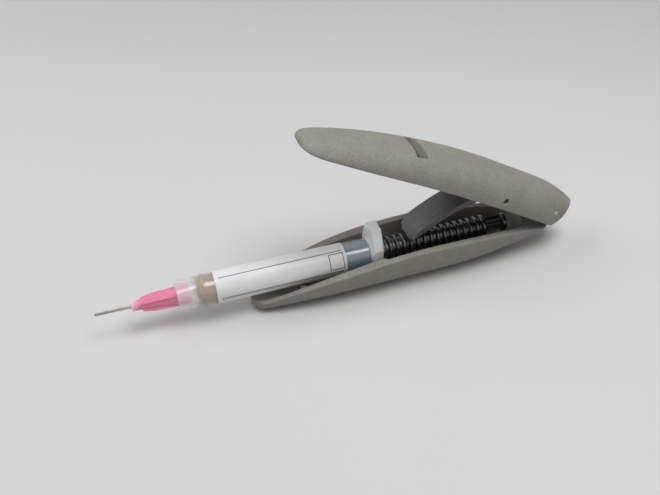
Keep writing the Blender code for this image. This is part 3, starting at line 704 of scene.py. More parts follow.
def weld(obj: bpy.types.Object) -> None:
    """Close the hairlines that tools leave, and split the faces into sound triangles.

    Args:
        obj: The object.
    """
    bm = bmesh.new()
    bm.from_mesh(obj.data)
    bmesh.ops.remove_doubles(bm, verts=bm.verts, dist=HAIRLINE)
    bmesh.ops.dissolve_degenerate(bm, edges=bm.edges, dist=HAIRLINE)
    bmesh.ops.triangulate(bm, faces=bm.faces, quad_method="BEAUTY", ngon_method="BEAUTY")
    bmesh.ops.dissolve_degenerate(bm, edges=bm.edges, dist=HAIRLINE)
    bm.to_mesh(obj.data)
    bm.free()


def drop_specks(obj: bpy.types.Object) -> None:
    """Delete loose specks, so that only the largest connected skin stays.

    Args:
        obj: The object.
    """
    bm = bmesh.new()
    bm.from_mesh(obj.data)
    bm.verts.index_update()
    seen: set[int] = set()
    groups: list[list[bmesh.types.BMVert]] = []
    for start in bm.verts:
        if start.index in seen:
            continue
        group = [start]
        seen.add(start.index)
        for vert in group:
            for edge in vert.link_edges:
                other = edge.other_vert(vert)
                if other.index not in seen:
                    seen.add(other.index)
                    group.append(other)
        groups.append(group)
    groups.sort(key=len)
    specks = [vert for group in groups[:-1] for vert in group]
    bmesh.ops.delete(bm, geom=specks, context="VERTS")
    bm.to_mesh(obj.data)
    bm.free()


def soften(obj: bpy.types.Object, voxel: float, rounds: int, keep: float) -> None:
    """Give a form one even skin with softly rounded edges.

    The form is turned askew while the cells are laid, so that long edges don't step along them.

    Args:
        obj: The object.
        voxel: Size of the skin's cells.
        rounds: Smoothing passes.
        keep: Share of the faces to keep.
    """
    obj.data.transform(ASKEW)
    remesh = obj.modifiers.new("skin", "REMESH")
    remesh.mode = "VOXEL"
    remesh.voxel_size = voxel
    smooth = obj.modifiers.new("ease", "SMOOTH")
    smooth.factor = SMOOTHING
    smooth.iterations = rounds
    thin = obj.modifiers.new("thin", "DECIMATE")
    thin.ratio = keep
    settle(obj)
    obj.data.transform(ASKEW.inverted())
    drop_specks(obj)


def skin(loops: Sequence[Sequence[Vector]], ring: bool = False) -> bmesh.types.BMesh:
    """A closed skin over loops of equal length.

    Args:
        loops: The loops in order.
        ring: Whether the last loop joins the first, instead of both being capped.

    Returns:
        The mesh.
    """
    bm = bmesh.new()
    rows = [[bm.verts.new(point) for point in loop] for loop in loops]
    pairs = list(zip(rows, rows[1:]))
    if ring:
        pairs.append((rows[-1], rows[0]))
    for low, high in pairs:
        for i in range(len(low)):
            j = (i + 1) % len(low)
            bm.faces.new((low[i], low[j], high[j], high[i]))
    if not ring:
        bm.faces.new(rows[0])
        bm.faces.new(reversed(rows[-1]))
    return bm


def rounded(points: Profile, radius: float, closed: bool = False, steps: int = 4) -> Profile:
    """Round the corners of an outline.

    Args:
        points: The outline's corners.
        radius: How far from a corner its round starts.
        closed: Whether the last corner joins the first.
        steps: Points on each round, less one.

    Returns:
        The outline with rounds.
    """
    corners = [Vector(p) for p in points]
    count = len(corners)
    result: Profile = []
    for i, corner in enumerate(corners):
        if not closed and i in (0, count - 1):
            result.append(tuple(corner))
            continue
        before = corners[i - 1] - corner
        after = corners[(i + 1) % count] - corner
        reach = min(radius, before.length * EDGE_SHARE, after.length * EDGE_SHARE)
        start = corner + before.normalized() * reach
        end = corner + after.normalized() * reach
        for k in range(steps + 1):
            t = k / steps
            point = start * (1.0 - t) ** 2 + corner * (2.0 * t * (1.0 - t)) + end * t ** 2
            result.append((point.x, point.y))
    return result


def turns(steps: int) -> list[float]:
    """Even angles round a circle, in radians."""
    return [2.0 * math.pi * k / steps for k in range(steps)]


def lathe(profile: Profile, steps: int, hollow: bool = False) -> bmesh.types.BMesh:
    """Turn points of (x, radius) about X, closed on themselves where the form is a hollow tube."""
    spun = [[Vector((x, r * math.sin(a), r * math.cos(a))) for x, r in profile] for a in turns(steps)]
    return skin(spun, ring=True) if hollow else skin(list(zip(*spun)))


def tube(profile: Profile, corner: float, steps: int, points: int = 4) -> bmesh.types.BMesh:
    """A hollow form turned about X from a closed outline whose corners are rounded."""
    return lathe(rounded(profile, corner, closed=True, steps=points), steps, hollow=True)


def section(x: float, points: Profile) -> list[Vector]:
    """A loop of points of (y, z) at a place along X."""
    return [Vector((x, y, z)) for y, z in points]


def plate(outline: Profile, low: float, high: float) -> bmesh.types.BMesh:
    """A plate with an outline of (y, z), from low to high along X."""
    return skin([section(x, outline) for x in (low, high)])


def slab(outline: Profile, half_width: float, centre: float = 0.0) -> bmesh.types.BMesh:
    """A plate with an outline of (x, z), half_width thick to either side of a centre along Y."""
    sides = (centre - half_width, centre + half_width)
    return skin([[Vector((x, y, z)) for x, z in outline] for y in sides])


def block(low: Sequence[float], high: Sequence[float]) -> bmesh.types.BMesh:
    """A box between its lowest and its highest corner."""
    outline = [(low[1], low[2]), (high[1], low[2]), (high[1], high[2]), (low[1], high[2])]
    return plate(outline, low[0], high[0])


def cross_bar(radius: float, length: float, x: float = 0.0, z: float = 0.0,
              centre: float = 0.0, steps: int = 48) -> bmesh.types.BMesh:
    """A round bar along Y, with its axis at (x, z) and its middle at a centre along Y."""
    outline = [(x + radius * math.cos(a), z + radius * math.sin(a)) for a in turns(steps)]
    return slab(outline, length / 2.0, centre)


def add_fins(obj: bpy.types.Object, edge: Profile, thickness: float, turn: float) -> None:
    """Join two crossed fins along X to an object.

    Args:
        obj: The object.
        edge: Points of (x, reach) along a fin's outer edge.
        thickness: Thickness of the fins.
        turn: Turn of the first fin about X.
    """
    for angle in (turn, turn + math.pi / 2.0):
        fin = slab([*edge, *((x, -z) for x, z in reversed(edge))], thickness / 2.0)
        bmesh.ops.rotate(fin, verts=fin.verts, matrix=Matrix.Rotation(angle, 3, "X"))
        work(obj, Cut.JOIN, fin)


def wire(name: str, points: Sequence[Vector], diameter: float, matrix: Matrix) -> bpy.types.Object:
    """A round wire along points, as a mesh.

    Args:
        name: The object's name.
        points: Its route.
        diameter: Its thickness.
        matrix: Where the route goes in the row frame.

    Returns:
        The object.
    """
    curve = bpy.data.curves.new(name, "CURVE")
    curve.dimensions = "3D"
    curve.bevel_depth = diameter / 2.0
    curve.bevel_resolution = WIRE_FACETS
    curve.use_fill_caps = True
    spline = curve.splines.new("POLY")
    spline.points.add(len(points) - 1)
    for place, point in zip(spline.points, points):
        place.co = (*(matrix @ point), 1.0)
    drawn = linked(f"{name}_route", curve)
    depsgraph = bpy.context.evaluated_depsgraph_get()
    mesh = bpy.data.meshes.new_from_object(drawn.evaluated_get(depsgraph))
    mesh.name = name
    bpy.data.objects.remove(drawn, do_unlink=True)
    return linked(name, mesh)


def sagitta(offset: float, radius: float) -> float:
    """How far an arc falls away from its tangent at an offset along it."""
    return radius - math.sqrt(max(radius * radius - offset * offset, 0.0))


def half_oval(width: float, base: float, bulge: float, fullness: float = 2.0, steps: int = 72) -> Profile:
    """Points of a half oval from -width to +width.

    Args:
        width: Half its width.
        base: Height of its two ends.
        bulge: Height of its crown above the base.
        fullness: 2 for an ellipse, more for a squarer form.
        steps: Steps along it.

    Returns:
        Points of (y, z).
    """
    power = 2.0 / fullness
    points = [(-width, base)]
    for k in range(1, steps):
        across = math.cos(math.pi * k / steps)
        up = math.sin(math.pi * k / steps)
        points.append((-width * math.copysign(abs(across) ** power, across), base + bulge * up ** power))
    return [*points, (width, base)]


@dataclass(frozen=True)
class Ends:
    """The rounded ends of a long form, in plan."""

    front: float
    front_round: float
    tail: float
    tail_round: float
    fullness: float = 2.0
    tail_fullness: float = 2.0
    sweep: float = math.radians(87.0)
    steps: int = 14
    body_steps: int = 84

    def share(self, x: float) -> float:
        """Share of the full width that the rounds leave.

        Args:
            x: Place along the form.

        Returns:
            The share, from 0 to 1.
        """
        ahead = max(0.0, (self.front + self.front_round - x) / self.front_round)
        behind = max(0.0, (x - self.tail + self.tail_round) / self.tail_round)
        nose = max(0.0, 1.0 - ahead ** self.fullness) ** (1.0 / self.fullness)
        return nose * max(0.0, 1.0 - behind ** self.tail_fullness) ** (1.0 / self.tail_fullness)

    def stations(self) -> list[float]:
        """Places along the form, closer together round the ends.

        Returns:
            The places in order.
        """
        sweeps = [self.sweep * (1.0 - k / self.steps) for k in range(self.steps)]
        low = self.front + self.front_round
        high = self.tail - self.tail_round
        nose = [low - self.front_round * math.sin(a) for a in sweeps]
        middle = [low + (high - low) * k / self.body_steps for k in range(self.body_steps + 1)]
        return nose + middle + [high + self.tail_round * math.sin(a) for a in reversed(sweeps)]

    def loft(self, at: Callable[[float], list[Vector]]) -> bmesh.types.BMesh:
        """A skin over the sections that a function gives along the form."""
        return skin([at(x) for x in self.stations()])


# Pieces

def dress(obj: bpy.types.Object, material: bpy.types.Material, slot: str, *nodes: str,
          body: Body | None = None, sharp: float = 40.0) -> bpy.types.Object:
    """Give a piece its finish, hide the CAD nodes that it replaces, and hang it on the body it rides on.

    Args:
        obj: The piece.
        material: Its finish.
        slot: The record's material slot; not used.
        nodes: CAD nodes that it replaces.
        body: The body it rides on, where it isn't blended.
        sharp: Edges that turn more than this many degrees stay crisp.

    Returns:
        The piece.
    """
    obj.data.materials.clear()
    obj.data.materials.append(material)
    obj.data.shade_smooth()
    obj.data.set_sharp_from_angle(angle=math.radians(sharp))
    if nodes:
        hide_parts(*nodes)
    if body is not None:
        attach(obj, body.value)
    LOG.info("%s: %d faces", obj.name, len(obj.data.polygons))
    return obj


def middle_of(node: str) -> Vector:
    """Middle of a CAD node in the row frame."""
    low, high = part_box(node)
    return (low + high) / 2.0


@dataclass(frozen=True)
class Fit:
    """Sizes that more than one sub-assembly needs."""

    seat_gap: float = 0.3 * MM
    pin_gap: float = 0.08 * MM
    barrel_radius: float = 5.6 * MM
    barrel_wall: float = 0.75 * MM
    barrel_length: float = 71.3 * MM
    label_radius: float = 5.85 * MM
    flange_thickness: float = 3.6 * MM
    wing_height: float = 12.1 * MM
    wing_top: float = 3.0 * MM
    flange_half_width: float = 6.3 * MM
    flange_shoulder: float = 4.7 * MM
    collar_radius: float = 5.48 * MM
    collar_wall: float = 1.2 * MM
    luer_radius: float = 1.95 * MM
    luer_taper: float = 0.03
    luer_proud: float = 0.7 * MM
    nozzle_radius: float = 1.0 * MM
    rib_radius: float = 4.55 * MM
    pin_radius: float = 1.0 * MM
    ear_inner: float = 2.2125 * MM
    ear_thickness: float = 2.0 * MM
    ear_radius: float = 2.6 * MM
    half_width: float = 12.3 * MM
    front_flank_radius: float = 165.0 * MM
    pawl_half_width: float = 5.8 * MM
    pawl_reach: float = 36.4 * MM
    pawl_nose_back: float = 4.4 * MM
    tooth_depth: float = 0.75 * MM
    crown_wall: float = 2.4 * MM
    lever_open: float = math.radians(29.4)

    def flange_outline(self, grow: float = 0.0) -> Profile:
        """The flange's octagon.

        Args:
            grow: Clearance all round.

        Returns:
            Points of (y, z).
        """
        quarter = [(self.flange_half_width + grow, self.flange_shoulder),
                   (self.wing_top + grow, self.wing_height + grow)]
        side = [(y, -z) for y, z in reversed(quarter)] + quarter
        return side + [(-y, z) for y, z in reversed(side)]

    def syringe(self) -> Matrix:
        """The syringe frame in the row frame, on the axis at the flange's front face."""
        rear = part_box("syringe_barrel")[1].x
        return Matrix.Translation((rear - self.flange_thickness, 0.0, middle_of("needle_tube").z))

    def hinge(self) -> Matrix:
        """The lever frame in the row frame, on the hinge axis."""
        return Matrix.Translation(middle_of("hinge_pin")) @ Matrix.Rotation(self.lever_open, 4, "Y")

    def pawl_turn(self) -> float:
        """Turn of the pawl about Y that sets its tooth into a groove, in radians."""
        rise = middle_of("pawl_pin").z - middle_of("needle_tube").z
        return -math.asin((rise - self.rib_radius + self.tooth_depth) / self.pawl_reach)

    def pivot(self) -> Matrix:
        """The pawl frame in the row frame, on the pawl's pin."""
        return Matrix.Translation(middle_of("pawl_pin")) @ Matrix.Rotation(self.pawl_turn(), 4, "Y")


FIT = Fit()


@dataclass(frozen=True)
class LowerShell:
    """The boat-shaped trough that holds the syringe and carries the hinge ears."""

    ends: Ends = Ends(-45.5 * MM, 5.0 * MM, 74.5 * MM, 5.5 * MM)
    hollow: Ends = Ends(-44.2 * MM, 5.0 * MM, 63.0 * MM, 6.0 * MM)
    tail_flank_start: float = 25.0 * MM
    tail_flank_radius: float = 240.0 * MM
    rim_peak_x: float = 25.0 * MM
    rim_peak_z: float = 4.35 * MM
    rim_arch_radius: float = 200.0 * MM
    belly_z: float = -12.3 * MM
    belly_crown: float = 0.6 * MM
    belly_rise_start: float = 28.0 * MM
    belly_rise_radius: float = 112.0 * MM
    tail_depth: float = 0.8 * MM
    bow_round: float = 1.4 * MM
    wall: float = 2.7 * MM
    front_wall: float = 3.8 * MM
    lip_wall: float = 1.3 * MM
    floor_wall: float = 2.4 * MM
    saddle_x: float = -28.0 * MM
    saddle_thickness: float = 2.6 * MM
    saddle_drop: float = 2.3 * MM
    ramp_length: float = 17.0 * MM
    ramp_drop: float = 0.7 * MM
    ramp_ease: float = 1.4
    keeper_wall: float = 2.9 * MM
    keeper_top: float = -2.2 * MM
    ear_foot_front: float = 65.5 * MM
    ear_foot_rear: float = 72.4 * MM
    ear_sink: float = 2.0 * MM
    ear_from: float = -20.0
    ear_sweep: float = 215.0
    ear_steps: int = 40
    voxel: float = 0.26 * MM
    rounds: int = 2
    keep: float = 0.3

    def flank(self, x: float) -> float:
        """Half width in plan, before the ends are rounded.

        Args:
            x: Place along the form.

        Returns:
            The half width.
        """
        behind = max(0.0, x - self.tail_flank_start)
        return (FIT.half_width - sagitta(max(0.0, -x), FIT.front_flank_radius)
                - sagitta(behind, self.tail_flank_radius))

    def rim(self, x: float) -> float:
        """Height of the arched rim."""
        return self.rim_peak_z - sagitta(x - self.rim_peak_x, self.rim_arch_radius)

    def belly(self, x: float) -> float:
        """Lowest point of the oval section, before the flat is taken off.

        Args:
            x: Place along the form.

        Returns:
            Its height.
        """
        rise = sagitta(max(0.0, x - self.belly_rise_start), self.belly_rise_radius)
        ahead = max(0.0, (self.ends.front + self.ends.front_round - x) / self.ends.front_round)
        bow = self.bow_round * (1.0 - math.sqrt(max(0.0, 1.0 - ahead * ahead)))
        return min(self.belly_z - self.belly_crown + rise + bow, self.rim(x) - self.tail_depth)

    def wall_at(self, x: float) -> float:
        """Wall at the rim: thin at the lip, thick beside the barrel, then even.

        Args:
            x: Place along the form.

        Returns:
            The wall's thickness.
        """
        if x > FIT.flange_thickness:
            return self.wall
        share = (x - self.ends.front) / (-FIT.seat_gap - self.keeper_wall - self.ends.front)
        return self.lip_wall + (self.front_wall - self.lip_wall) * min(1.0, max(0.0, share))

    def hull(self, x: float, inset: float = 0.0, top: float | None = None) -> list[Vector]:
        """The outer section, drawn in by an inset, with a flat belly.

        Args:
            x: Place along the form.
            inset: How far it is drawn in.
            top: Its upper edge, where that isn't the rim.

        Returns:
            The section's loop.
        """
        rim = self.rim(x) if top is None else top
        width = max(self.flank(x) * self.ends.share(x) - inset, inset / 4.0)
        points = half_oval(width, rim, self.belly(x) + inset - rim)
        return section(x, [(y, max(z, self.belly_z + inset)) for y, z in points])

    def trough(self, x: float) -> list[Vector]:
        """The hollow's section, carried straight up past the rim.

        Args:
            x: Place along the form.

        Returns:
            The section's loop.
        """
        rim = self.rim(x)
        low = self.belly(x) + self.belly_crown + self.floor_wall
        ramp = max(0.0, 1.0 - (x - self.hollow.front) / self.ramp_length)
        low += max(0.0, rim - self.ramp_drop - low) * ramp ** self.ramp_ease
        width = (self.flank(x) - self.wall_at(x)) * self.hollow.share(x)
        above = rim + FIT.half_width
        return section(x, [(-width, above), *half_oval(width, rim, low - rim), (width, above)])

    def saddle(self, radius: float, low: float, high: float) -> bmesh.types.BMesh:
        """A channel round the syringe axis, open upwards."""
        above = FIT.half_width
        return plate([(-radius, above), *half_oval(radius, 0.0, -radius), (radius, above)], low, high)

    def ear(self, hinge_x: float, hinge_z: float) -> Profile:
        """Outline of a hinge ear: a round eye on a foot that is sunk into the tail.

        Args:
            hinge_x: The hinge axis along X.
            hinge_z: The hinge axis along Z.

        Returns:
            Points of (x, z).
        """
        sweep = [math.radians(self.ear_from + self.ear_sweep * k / self.ear_steps)
                 for k in range(self.ear_steps + 1)]
        eye = [(hinge_x + FIT.ear_radius * math.cos(a), hinge_z + FIT.ear_radius * math.sin(a))
               for a in sweep]
        feet = [(x, self.rim(x) - self.ear_sink) for x in (self.ear_foot_front, self.ear_foot_rear)]
        return eye + feet

    def build(self, material: bpy.types.Material) -> None:
        """Make the shell.

        Args:
            material: Its finish.
        """
        obj = object_from("shell_body", self.ends.loft(self.hull))
        work(obj, Cut.TAKE, self.hollow.loft(self.trough))
        rest = (self.saddle_x, self.saddle_x + self.saddle_thickness)
        keeper = (-FIT.seat_gap - self.keeper_wall,
                  FIT.flange_thickness + FIT.seat_gap + self.keeper_wall)
        inset = self.floor_wall / 2.0
        saddle_top = self.rim(self.saddle_x) - self.saddle_drop
        work(obj, Cut.JOIN, skin([self.hull(x, inset, saddle_top) for x in rest]))
        work(obj, Cut.JOIN, skin([self.hull(x, inset, self.keeper_top) for x in keeper]))
        pocket = (-FIT.seat_gap, FIT.flange_thickness + FIT.seat_gap)
        wing = FIT.wing_top + FIT.seat_gap
        beds = (
            self.saddle(FIT.label_radius + FIT.seat_gap, rest[0] - inset, rest[1] + inset),
            self.saddle(FIT.barrel_radius + FIT.seat_gap, keeper[0] - inset, FIT.flange_thickness / 2.0),
            self.saddle(FIT.rib_radius + FIT.seat_gap, 0.0, keeper[1] + inset),
            plate(FIT.flange_outline(FIT.seat_gap), *pocket),
            block((pocket[0], -wing, 2.0 * self.belly_z), (pocket[1], wing, -FIT.flange_shoulder)),
        )
        for bed in beds:
            work(obj, Cut.TAKE, bed)
        hinge = FIT.syringe().inverted() @ FIT.hinge().translation
        for side in (-1.0, 1.0):
            centre = side * (FIT.ear_inner + FIT.ear_thickness / 2.0)
            work(obj, Cut.JOIN, slab(self.ear(hinge.x, hinge.z), FIT.ear_thickness / 2.0, centre))
        bore = FIT.pin_radius + FIT.pin_gap
        work(obj, Cut.TAKE, cross_bar(bore, 2.0 * FIT.half_width, hinge.x, hinge.z))
        soften(obj, self.voxel, self.rounds, self.keep)
        obj.data.transform(FIT.syringe())
        dress(obj, material, "printed_shell", "lower_shell", body=Body.SHELL, sharp=80.0)


@dataclass(frozen=True)
class UpperLever:
    """The tongue-shaped lever: hollow below, with a slot across its crown and two cross holes."""

    ends: Ends = Ends(-109.5 * MM, 9.5 * MM, 11.7 * MM, 14.0 * MM, 3.0, 2.0)
    hollow: Ends = Ends(-106.1 * MM, 9.5 * MM, 4.6 * MM, 9.5 * MM, 3.0)
    fullness: float = 2.5
    front_flank_start: float = -73.0 * MM
    tail_flank_start: float = -48.0 * MM
    tail_flank_radius: float = 370.0 * MM
    crown: float = 7.4 * MM
    crown_front_start: float = -31.0 * MM
    crown_front_radius: float = 252.0 * MM
    crown_tail_start: float = -8.0 * MM
    crown_tail_radius: float = 60.0 * MM
    rim_x: float = -46.0 * MM
    rim_z: float = -3.6 * MM
    rim_radius: float = 560.0 * MM
    stop_flat_x: float = 2.2 * MM
    wall: float = 2.7 * MM
    pocket_front: float = -6.0 * MM
    slot_x: float = -67.9 * MM
    slot_width: float = 4.5 * MM
    slot_half_length: float = 7.0 * MM
    slot_lip: float = 1.6 * MM
    slot_lip_depth: float = 3.4 * MM
    boss_radius: float = 1.9 * MM
    voxel: float = 0.26 * MM
    rounds: int = 2
    keep: float = 0.3

    def flank(self, x: float) -> float:
        """Half width in plan, before the ends are rounded.

        Args:
            x: Place along the form.

        Returns:
            The half width.
        """
        ahead = max(0.0, self.front_flank_start - x)
        behind = max(0.0, x - self.tail_flank_start)
        return (FIT.half_width - sagitta(ahead, FIT.front_flank_radius)
                - sagitta(behind, self.tail_flank_radius))

    def crown_at(self, x: float) -> float:
        """Height of the crown.

        Args:
            x: Place along the form.

        Returns:
            The height.
        """
        fall = sagitta(max(0.0, self.crown_front_start - x), self.crown_front_radius)
        drop = sagitta(max(0.0, x - self.crown_tail_start), self.crown_tail_radius)
        return self.crown - fall - drop

    def rim(self, x: float) -> float:
        """Height of the rim: a shallow arch, then the flat that lies level when open.

        Args:
            x: Place along the form.

        Returns:
            The height.
        """
        reach = min(x, self.stop_flat_x)
        arch = self.rim_z - sagitta(reach - self.rim_x, self.rim_radius)
        return arch + (x - reach) * math.tan(FIT.lever_open)

    def outside(self, x: float) -> list[Vector]:
        """The outer section.

        Args:
            x: Place along the form.

        Returns:
            The section's loop.
        """
        rim = self.rim(x)
        width = self.flank(x) * self.ends.share(x)
        return section(x, half_oval(width, rim, self.crown_at(x) - rim, self.fullness))

    def inside(self, x: float) -> list[Vector]:
        """The hollow's section, carried straight down past the rim.

        Args:
            x: Place along the form.

        Returns:
            The section's loop.
        """
        rim = self.rim(x)
        width = (self.flank(x) - self.wall) * self.hollow.share(x)
        rise = max(self.crown_at(x) - FIT.crown_wall - rim, self.wall / 2.0)
        below = rim - FIT.half_width
        return section(x, [(-width, below), *half_oval(width, rim, rise, self.fullness), (width, below)])

    def build(self, material: bpy.types.Material) -> None:
        """Make the lever.

        Args:
            material: Its finish.
        """
        obj = object_from("lever_body", self.ends.loft(self.outside))
        work(obj, Cut.TAKE, self.hollow.loft(self.inside))
        pocket = FIT.ear_inner + FIT.ear_thickness + FIT.seat_gap
        work(obj, Cut.TAKE, block((self.pocket_front, -pocket, -2.0 * FIT.half_width),
                                  (self.hollow.tail, pocket, FIT.ear_radius + 2.0 * FIT.seat_gap)))
        pivot = FIT.hinge().inverted() @ FIT.pivot().translation
        inner = FIT.pawl_half_width + FIT.seat_gap
        outer = self.flank(pivot.x) - self.wall
        for side in (-0.5, 0.5):
            boss = cross_bar(self.boss_radius, outer - inner, pivot.x, pivot.z, side * (inner + outer))
            work(obj, Cut.JOIN, boss)
        rear = self.slot_x + self.slot_width / 2.0
        crown = self.crown_at(rear)
        reach = self.slot_half_length + self.slot_lip / 2.0
        work(obj, Cut.JOIN, block((self.slot_x, -reach, crown - self.slot_lip_depth),
                                  (rear + self.slot_lip, reach, crown - FIT.crown_wall + FIT.seat_gap)))
        work(obj, Cut.TAKE, block((rear - self.slot_width, -self.slot_half_length, self.rim_z),
                                  (rear, self.slot_half_length, 2.0 * self.crown)))
        bore = FIT.pin_radius + FIT.pin_gap
        work(obj, Cut.TAKE, cross_bar(bore, 2.0 * FIT.half_width))
        work(obj, Cut.TAKE, cross_bar(bore, 3.0 * FIT.half_width, pivot.x, pivot.z))
        soften(obj, self.voxel, self.rounds, self.keep)
        obj.data.transform(FIT.hinge())
        dress(obj, material, "printed_shell", "upper_lever", body=Body.LEVER, sharp=80.0)


@dataclass(frozen=True)
class DrivePawl:
    """The arched strip whose hooked nose pushes the rod along."""

    thickness: float = 2.3 * MM
    boss_radius: float = 2.1 * MM
    nose_height: float = 4.3 * MM
    arch: float = 2.0 * MM
    tooth_height: float = 1.3 * MM
    tooth_tip: float = 0.4 * MM
    tooth_root: float = 0.7 * MM
    tooth_half_width: float = 4.0 * MM
    gap_front: float = -6.4 * MM
    gap_half_width: float = 1.5625 * MM
    steps: int = 32
    voxel: float = 0.15 * MM
    rounds: int = 2
    keep: float = 0.3

    def top(self, share: float) -> tuple[float, float]:
        """A point of the arched top edge, from the nose (0) to the pivot (1).

        Args:
            share: How far along the edge it is.

        Returns:
            The point (x, z).
        """
        x = -(FIT.pawl_reach - FIT.pawl_nose_back) * (1.0 - share)
        straight = self.nose_height + (self.boss_radius - self.nose_height) * share
        return x, straight + self.arch * math.sin(math.pi * share)

    def outline(self) -> Profile:
        """The side view: arched strip, hooked nose and tooth.

        Returns:
            Points of (x, z).
        """
        top = [self.top(k / self.steps) for k in range(self.steps)]
        under = [(x, z - self.thickness) for x, z in top[1:]]
        tip = -FIT.pawl_reach
        sweep = [math.pi * (0.5 - k / self.steps) for k in range(self.steps + 1)]
        eye = [(self.boss_radius * math.cos(a), self.boss_radius * math.sin(a)) for a in sweep]
        tooth = [(tip + self.tooth_root, self.tooth_height), (tip + self.tooth_tip / 2.0, 0.0),
                 (tip - self.tooth_tip / 2.0, 0.0)]
        return [(tip, self.tooth_height), *top, *eye, *reversed(under), *tooth]

    def build(self, material: bpy.types.Material) -> None:
        """Make the pawl.

        Args:
            material: Its finish.
        """
        obj = object_from("pawl_strip", slab(self.outline(), FIT.pawl_half_width))
        tall = 2.0 * self.nose_height
        work(obj, Cut.TAKE, block((self.gap_front, -self.gap_half_width, -tall),
                                  (tall, self.gap_half_width, tall)))
        nose = -FIT.pawl_reach + FIT.pawl_nose_back / 2.0
        for side in (-1.0, 1.0):
            low, high = sorted((side * self.tooth_half_width, side * 2.0 * FIT.pawl_half_width))
            work(obj, Cut.TAKE, block((-FIT.pawl_reach - tall, low, -tall),
                                      (nose, high, self.tooth_height + FIT.seat_gap)))
        work(obj, Cut.TAKE, cross_bar(FIT.pin_radius + FIT.pin_gap, 4.0 * FIT.pawl_half_width))
        soften(obj, self.voxel, self.rounds, self.keep)
        obj.data.transform(FIT.pivot())
        dress(obj, material, "pawl_black", "drive_pawl", body=Body.PAWL, sharp=70.0)


@dataclass(frozen=True)
class CrossPins:
    """The two steel pins with chamfered ends."""

    chamfer: float = 0.22 * MM
    steps: int = 40
    lengths: tuple[tuple[str, str, float], ...] = (
        ("hinge_axle", "hinge_pin", 17.4 * MM),
        ("pawl_axle", "pawl_pin", 19.6 * MM),
    )

    def build(self, bright: bpy.types.Material, shaded_steel: bpy.types.Material) -> None:
        """Make both pins.

        Args:
            bright: Finish of the hinge's pin, whose ends shine.
            shaded_steel: Finish of the pawl's pin: the same steel darkened with painted shade, for the
                shadow deep in its holes.
        """
        # The second finish is painted shade: a darkened copy of the steel for the pawl's pin in its
        # holes.
        for (name, node, length), material in zip(self.lengths, (bright, shaded_steel)):
            half = length / 2.0
            ends = [(-half, FIT.pin_radius - self.chamfer), (-half + self.chamfer, FIT.pin_radius)]
            profile = ends + [(-x, r) for x, r in reversed(ends)]
            place = Matrix.Translation(middle_of(node)) @ Matrix.Rotation(math.pi / 2.0, 4, "Z")
            obj = object_from(name, lathe(profile, self.steps), place)
            dress(obj, material, "pin_steel", node, body=Body.LEVER, sharp=30.0)


@dataclass(frozen=True)
class TorsionSpring:
    """A wire wound about Y with a straight leg at each end."""

    name: str
    node: str
    wire: float
    turns: float
    pitch: float
    radius: float
    first: tuple[float, float]
    last: tuple[float, float]
    points_per_turn: int = 28

    def tangent(self, target: tuple[float, float], leaving: bool) -> float:
        """Turn of the coil at which a straight leg leaves for a target, or arrives from it.

        Args:
            target: The leg's free end as (x, z).
            leaving: Whether the leg leaves the coil.

        Returns:
            The angle in radians.
        """
        reach = math.sqrt(target[0] ** 2 + target[1] ** 2 - self.radius ** 2)
        run = reach if leaving else -reach
        return math.atan2(run * target[0] + self.radius * target[1],
                          run * target[1] - self.radius * target[0])

    def total(self) -> float:
        """Turns from one leg to the other."""
        swept = self.tangent(self.last, leaving=True) - self.tangent(self.first, leaving=False)
        return math.floor(self.turns) + swept / (2.0 * math.pi) % 1.0

    def route(self) -> list[Vector]:
        """Points along the wire, centred on the coil's axis.

        Returns:
            The route.
        """
        total = self.total()
        count = round(total * self.points_per_turn)
        start = self.tangent(self.first, leaving=False)
        points = []
        for k in range(count + 1):
            angle = start + 2.0 * math.pi * total * k / count
            y = self.pitch * total * (k / count - 0.5)
            points.append(Vector((-self.radius * math.cos(angle), y, self.radius * math.sin(angle))))
        leg_first = Vector((self.first[0], points[0].y, self.first[1]))
        leg_last = Vector((self.last[0], points[-1].y, self.last[1]))
        return [leg_first, *points, leg_last]

    def build(self, material: bpy.types.Material, place: Matrix, first: Body, last: Body) -> None:
        """Make the spring, which winds between two bodies.

        Args:
            material: Its finish.
            place: The coil's frame in the row frame.
            first: Body that holds the first leg; not used.
            last: Body that holds the last leg; not used.
        """
        obj = wire(self.name, self.route(), self.wire, place)
        dress(obj, material, "spring_wire", self.node)
        half = Vector((0.0, self.pitch * self.total() / 2.0, 0.0))
        place @ -half
        place @ half
        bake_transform(obj)


